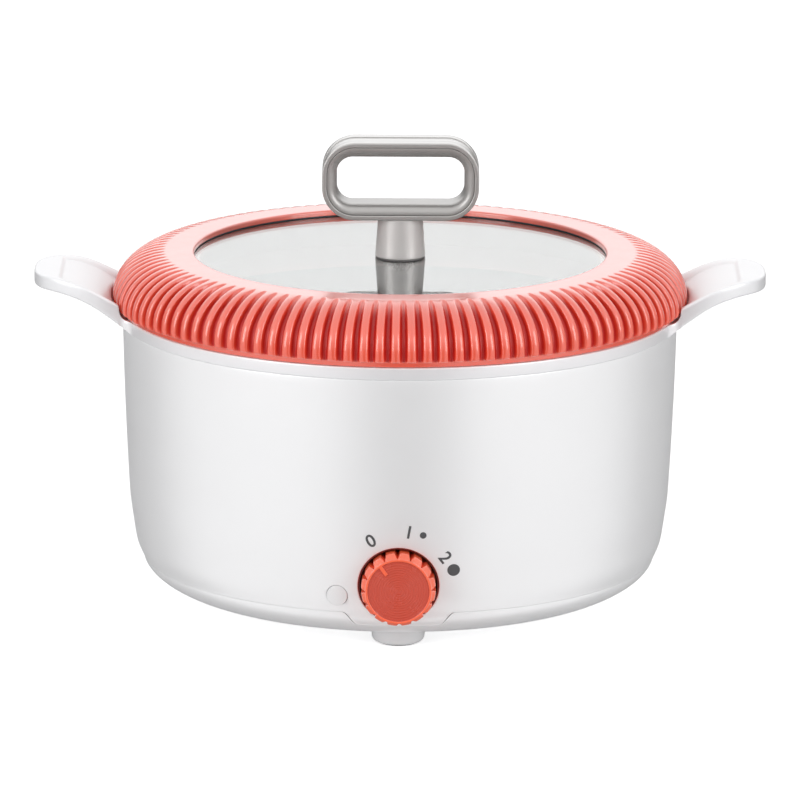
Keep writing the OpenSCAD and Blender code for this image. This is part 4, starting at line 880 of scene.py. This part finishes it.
def earLines():  # lines across the handle, from the collar to the tip
    corner, side = earOutline()
    edge = corner + side
    gapRadius = ring["radius"] + ear["gap"]
    lines = [earLine(earArc(edge, radius), 0.3, capped=True) for radius in (*ear["arcs"], gapRadius)]
    for past, roundShare, drop in ((0.01, 0.3, 0.5), (0.12, 0.5, 0.2), (0.5, 1, 0)):
        lines.append(earLine(earArc(edge, gapRadius + past), roundShare, drop))
    for k, (x, y) in enumerate(side):
        if math.hypot(x, y) < gapRadius + ear["clear"]:
            continue
        along = Vector((0, 1))
        if k + 1 < len(side):
            along = Vector((side[k + 1][0] - side[k - 1][0], side[k + 1][1] - side[k - 1][1]))
        normal = Vector((-along.y, along.x)).normalized()
        t = smooth((x - ear["straightFrom"]) / ear["straightOver"])
        direction = Vector((-y, x)).normalized().lerp(normal, t).normalized()
        bulge = y ** 2 / (2 * x) * (1 - t) * max(0, 1 - ear["edgeRows"][-1] / abs(y)) ** 2
        lines.append(earLine(earCross(x, y, direction, bulge)))
    return lines


def addEar(bm, side):  # side is 1 for the right handle and -1 for the left
    rings = []
    for line in earLines():
        (x0, y0, top0, low0), (x1, y1, top1, low1) = line[0], line[-1]
        around = [(x, y, top) for x, y, top, low in line]
        around += [(x1, y1, top1 + (low1 - top1) * t) for t in (0.33, 0.66)]
        around += [(x, y, low) for x, y, top, low in reversed(line)]
        around += [(x0, y0, low0 + (top0 - low0) * t) for t in (0.33, 0.66)]
        rings.append([(side * x * mm, y * mm, z * mm) for x, y, z in around])
    rings = addRings(bm, rings, False)
    count, rows = len(line), len(ear["edgeRows"])
    for end in (rings[0], rings[-1]):  # close both ends
        top, bottom = end[:count], end[count + 2:2 * count + 2]
        for face in (top, bottom):
            for k in range(rows - 1):
                bm.faces.new((face[k], face[k + 1], face[-2 - k], face[-1 - k]))
            bm.faces.new(face[rows - 1:count - rows + 1])
        bm.faces.new((top[0], top[-1], end[count], end[-1]))
        bm.faces.new((end[count], end[count + 1], end[-2], end[-1]))
        bm.faces.new((end[count + 1], bottom[0], bottom[-1], end[-2]))


def buildCollar():
    radius, top, bottom, skirt, bore = [collar[key] for key in ("radius", "top", "bottom", "skirt", "bore")]
    low, ledge, bead, wall = [collar[key] for key in ("skirtBottom", "ledge", "bead", "wall")]
    outline = fillet([
        (bore, ledge), (bead, ledge), (bead, top, 0.6), (radius, top, collar["edge"]), (radius, bottom, 0.5),
        (skirt, bottom), (skirt, low), (skirt - wall, low), (skirt - wall, ledge - wall),
        (bore + wall, ledge - wall), (bore + wall, low), (bore, low)], 6)
    bm = bmesh.new()
    addRings(bm, lathe(outline, collar["columns"]))
    addEar(bm, 1)
    addEar(bm, -1)
    # painted shade: the collar and ear handles take the darkened copy of the shell's white
    seat(place("rimCollar", bm, finishes["collarShadedWhite"], 40), "pot", "shell_white", "rim_collar")


buildCollar()
print("collar and ear handles built")

body = {
    "seam": 23.4, "seamRadius": 134.0, "tuck": 31.0, "tuckRadius": 137.6, "waist": 54.0, "waistRadius": 140.9,
    "top": level("outer_shell", 1), "topRadius": 144.6, "bulge": 0.5, "soften": 5.0, "wall": 2.5, "edge": 0.7,
    "panHeight": 16.4, "panCurve": 30.0, "panPower": 1.7, "tabHalf": 20.0, "tabShoulder": 8.6, "tabDrop": 7.7,
    "rows": 40, "fineHalf": 15,  # degrees to each side of the front with four times the columns
    "knobHole": 20.7, "lensHole": 5.5, "holeEdge": 0.45, "holeIn": 9, "holeOut": 6, "holeColumns": 120,
    "inletWidth": 29.0, "inletHeight": 21.0, "inletCorner": 2.0, "inletZ": 39.0, "inletCut": (120, 160),
}
lens = {
    "height": 33.0, "turn": 13.1, "radius": 5.32, "proud": 0.8, "dome": 0.3, "edge": 0.35, "length": 6.0,
    "columns": 72,
}
dial = {
    "size": 9.4, "bold": 0.14, "thick": 0.1, "lift": 0.02, "dotColumns": 48,
    "digits": (("0", -14.0, 63.0, -29), ("1", 5.2, 67.7, 10), ("2", 23.5, 54.2, 54)),  # x, z and degrees
    "dots": ((12.4, 66.4, 1.7), (28.0, 47.4, 3.2)),  # x, z and radius, for low and high heat
}


def plainRadius(z):  # outer radius of the shell, and below the seam of the pan's curve
    if z <= body["seam"]:
        u, power = min(1, (body["seam"] - z) / body["panHeight"]), body["panPower"]
        return body["seamRadius"] - body["panCurve"] * (1 - (1 - u ** power) ** (1 / power))
    low, high = ("seam", "tuck") if z <= body["tuck"] else ("tuck", "waist")
    if z > body["waist"]:
        low, high = "waist", "top"
    t = min(1, (z - body[low]) / (body[high] - body[low]))
    radius = body[low + "Radius"] + (body[high + "Radius"] - body[low + "Radius"]) * t
    return radius + 4 * body["bulge"] * t * (1 - t) if high == "top" else radius


def shellRadius(z):  # the same with its bends drawn soft
    blend = max(0, min(body["soften"], z - body["seam"], body["top"] - z))
    if blend < 0.05:
        return plainRadius(z)
    return sum(plainRadius(z + blend * d / 4) * (5 - abs(d)) for d in range(-4, 5)) / 25


def onShell(x, z, out):  # a point of the front view, laid on the shell
    return (x * mm, (-math.sqrt(shellRadius(z) ** 2 - x * x) - out) * mm, z * mm)


def shellCircle(x, z, radius, out, count):  # a circle laid on the shell, or its middle point
    turns = fullTurn(count if radius else 1)
    return [onShell(x + radius * math.cos(a), z + radius * math.sin(a), out) for a in turns]


def seamHeight(turn):  # lower edge of the shell; it runs down round the tab in front
    z = body["seam"]
    for _ in range(4 if math.cos(turn) > 0 else 0):
        x = abs(plainRadius(z) * math.sin(turn))
        t = clamp((x - body["tabHalf"]) / body["tabShoulder"])
        z = body["seam"] - body["tabDrop"] * (1 + math.cos(math.pi * t)) / 2
    return z


def holeCutter(name, radius, height, turn):  # a plug that flares where it leaves the shell's face
    edge, inside, outside = body["holeEdge"], -body["holeIn"], body["holeOut"]
    rows = [(0, inside), (radius, inside), (radius, -edge)]
    rows += [(radius + edge * (1 - math.cos(a)), -edge * (1 - math.sin(a))) for a in angles(20, 40, 60, 80)]
    rows += [(rows[-1][0] + 0.01, outside), (0, outside)]
    bm = bmesh.new()
    addRings(bm, [shellCircle(0, height, r, out, body["holeColumns"]) for r, out in rows], False)
    bm.transform(Matrix.Rotation(-math.radians(turn), 4, "Z"))
    return place(name, bm, finishes["shellWhite"])


def inletCutter():
    half, tall, corner = body["inletWidth"] / 2, body["inletHeight"] / 2, body["inletCorner"]
    outline = fillet([(x * half, z * tall, corner) for x, z in ((-1, -1), (1, -1), (1, 1), (-1, 1))], 6)
    start, end = body["inletCut"]
    rings = [[(x * mm, y * mm, (body["inletZ"] + z) * mm) for x, z in points]
             for points, y in (([(0, 0)], start), (outline, start), (outline, end), ([(0, 0)], end))]
    return ringPiece("inletCutter", rings, "shellWhite", closed=False)


def buildShell():
    edge, wall, top, count, fine = [body[key] for key in ("edge", "wall", "top", "rows", "fineHalf")]
    turns = angles(*[k / 4 - fine for k in range(8 * fine)], *range(fine, 360 - fine))
    bends = angles(*range(0, 91, 18))
    highEdge = shellRadius(top - edge)
    rings = []
    for turn in turns:
        low = seamHeight(turn)
        lowEdge = shellRadius(low + edge)
        heights = [low + edge + (top - low - 2 * edge) * (k / count) ** 1.25 for k in range(1, count)]
        section = [(lowEdge - edge * (1 - math.sin(a)), low + edge * (1 - math.cos(a))) for a in bends]
        section += [(shellRadius(z), z) for z in heights]
        section += [(highEdge - edge * (1 - math.cos(a)), top - edge * (1 - math.sin(a))) for a in bends]
        section += [(highEdge - wall, top)]
        section += [(shellRadius(z) - wall, z) for z in reversed(heights[::4])]
        section += [(plainRadius(low) - wall, low)]
        rings.append([(r * math.sin(turn) * mm, -r * math.cos(turn) * mm, z * mm) for r, z in section])
    shell = ringPiece("bodyShell", rings, "shellWhite")
    cutters = [holeCutter("knobCutter", body["knobHole"], knob["axis"], 0),
               holeCutter("lensCutter", body["lensHole"], lens["height"], lens["turn"]), inletCutter()]
    for cutter in cutters:
        modifier = shell.modifiers.new(cutter.name, "BOOLEAN")
        modifier.operation = "DIFFERENCE"
        modifier.solver = "EXACT"
        modifier.object = cutter
    settle(shell)
    for cutter in cutters:
        bpy.data.objects.remove(cutter)
    smoothShade(shell.data, 28)
    seat(shell, "pot", "shell_white", "outer_shell")


def buildLens():
    turn = math.radians(lens["turn"])
    out = Vector((-math.sin(turn), -math.cos(turn), 0))
    side = Vector((math.cos(turn), -math.sin(turn), 0))
    front, radius, edge = shellRadius(lens["height"]) + lens["proud"], lens["radius"], lens["edge"]
    flat, rim, back = radius - edge, front - lens["dome"] - edge, front - lens["length"]
    outline = [(0, front)] + [(flat * t, front - lens["dome"] * t * t) for t in (0.25, 0.5, 0.75, 1)]
    outline += [(flat + edge * math.sin(a), rim + edge * math.cos(a)) for a in angles(22, 45, 68, 90)]
    outline += [(radius, back), (0, back)]
    rings = []
    for r, away in outline:
        middle = out * away + Vector((0, 0, lens["height"]))
        rings.append([(middle + side * r * math.cos(a) + Vector((0, 0, r * math.sin(a)))) * mm
                      for a in fullTurn(lens["columns"] if r else 1)])
    seat(ringPiece("pilotLens", rings, "milkyLens", 50, False), "pot", "lens_white", "pilot_lens")


def buildDialMarks():
    bm = bmesh.new()
    lift, thick = dial["lift"], dial["thick"]
    for digit, x0, z0, turn in dial["digits"]:
        curve = bpy.data.curves.new("digit", "FONT")
        curve.body = digit
        curve.size = dial["size"] * mm
        curve.align_x, curve.align_y = "CENTER", "CENTER"
        curve.extrude = thick * mm
        curve.offset = dial["bold"] * mm
        obj = bpy.data.objects.new("digit", curve)
        scene.collection.objects.link(obj)
        mesh = finalMesh(obj)
        cosine, sine = math.cos(math.radians(turn)), math.sin(math.radians(turn))
        for vertex in mesh.vertices:
            x, y, out = vertex.co / mm
            vertex.co = onShell(x0 + x * cosine + y * sine, z0 - x * sine + y * cosine, out + lift)
        bm.from_mesh(mesh)
        bpy.data.objects.remove(obj)
        bpy.data.meshes.remove(mesh)
    for x0, z0, radius in dial["dots"]:
        rows = ((0, thick), (radius, thick), (radius, -thick), (0, -thick))
        addRings(bm, [shellCircle(x0, z0, r, out + lift, dial["dotColumns"]) for r, out in rows], False)
    seat(place("dialMarks", bm, finishes["print"], 30), "pot", "inlet_black")


buildShell()
buildLens()
buildDialMarks()
print("shell, lens and dial marks built")
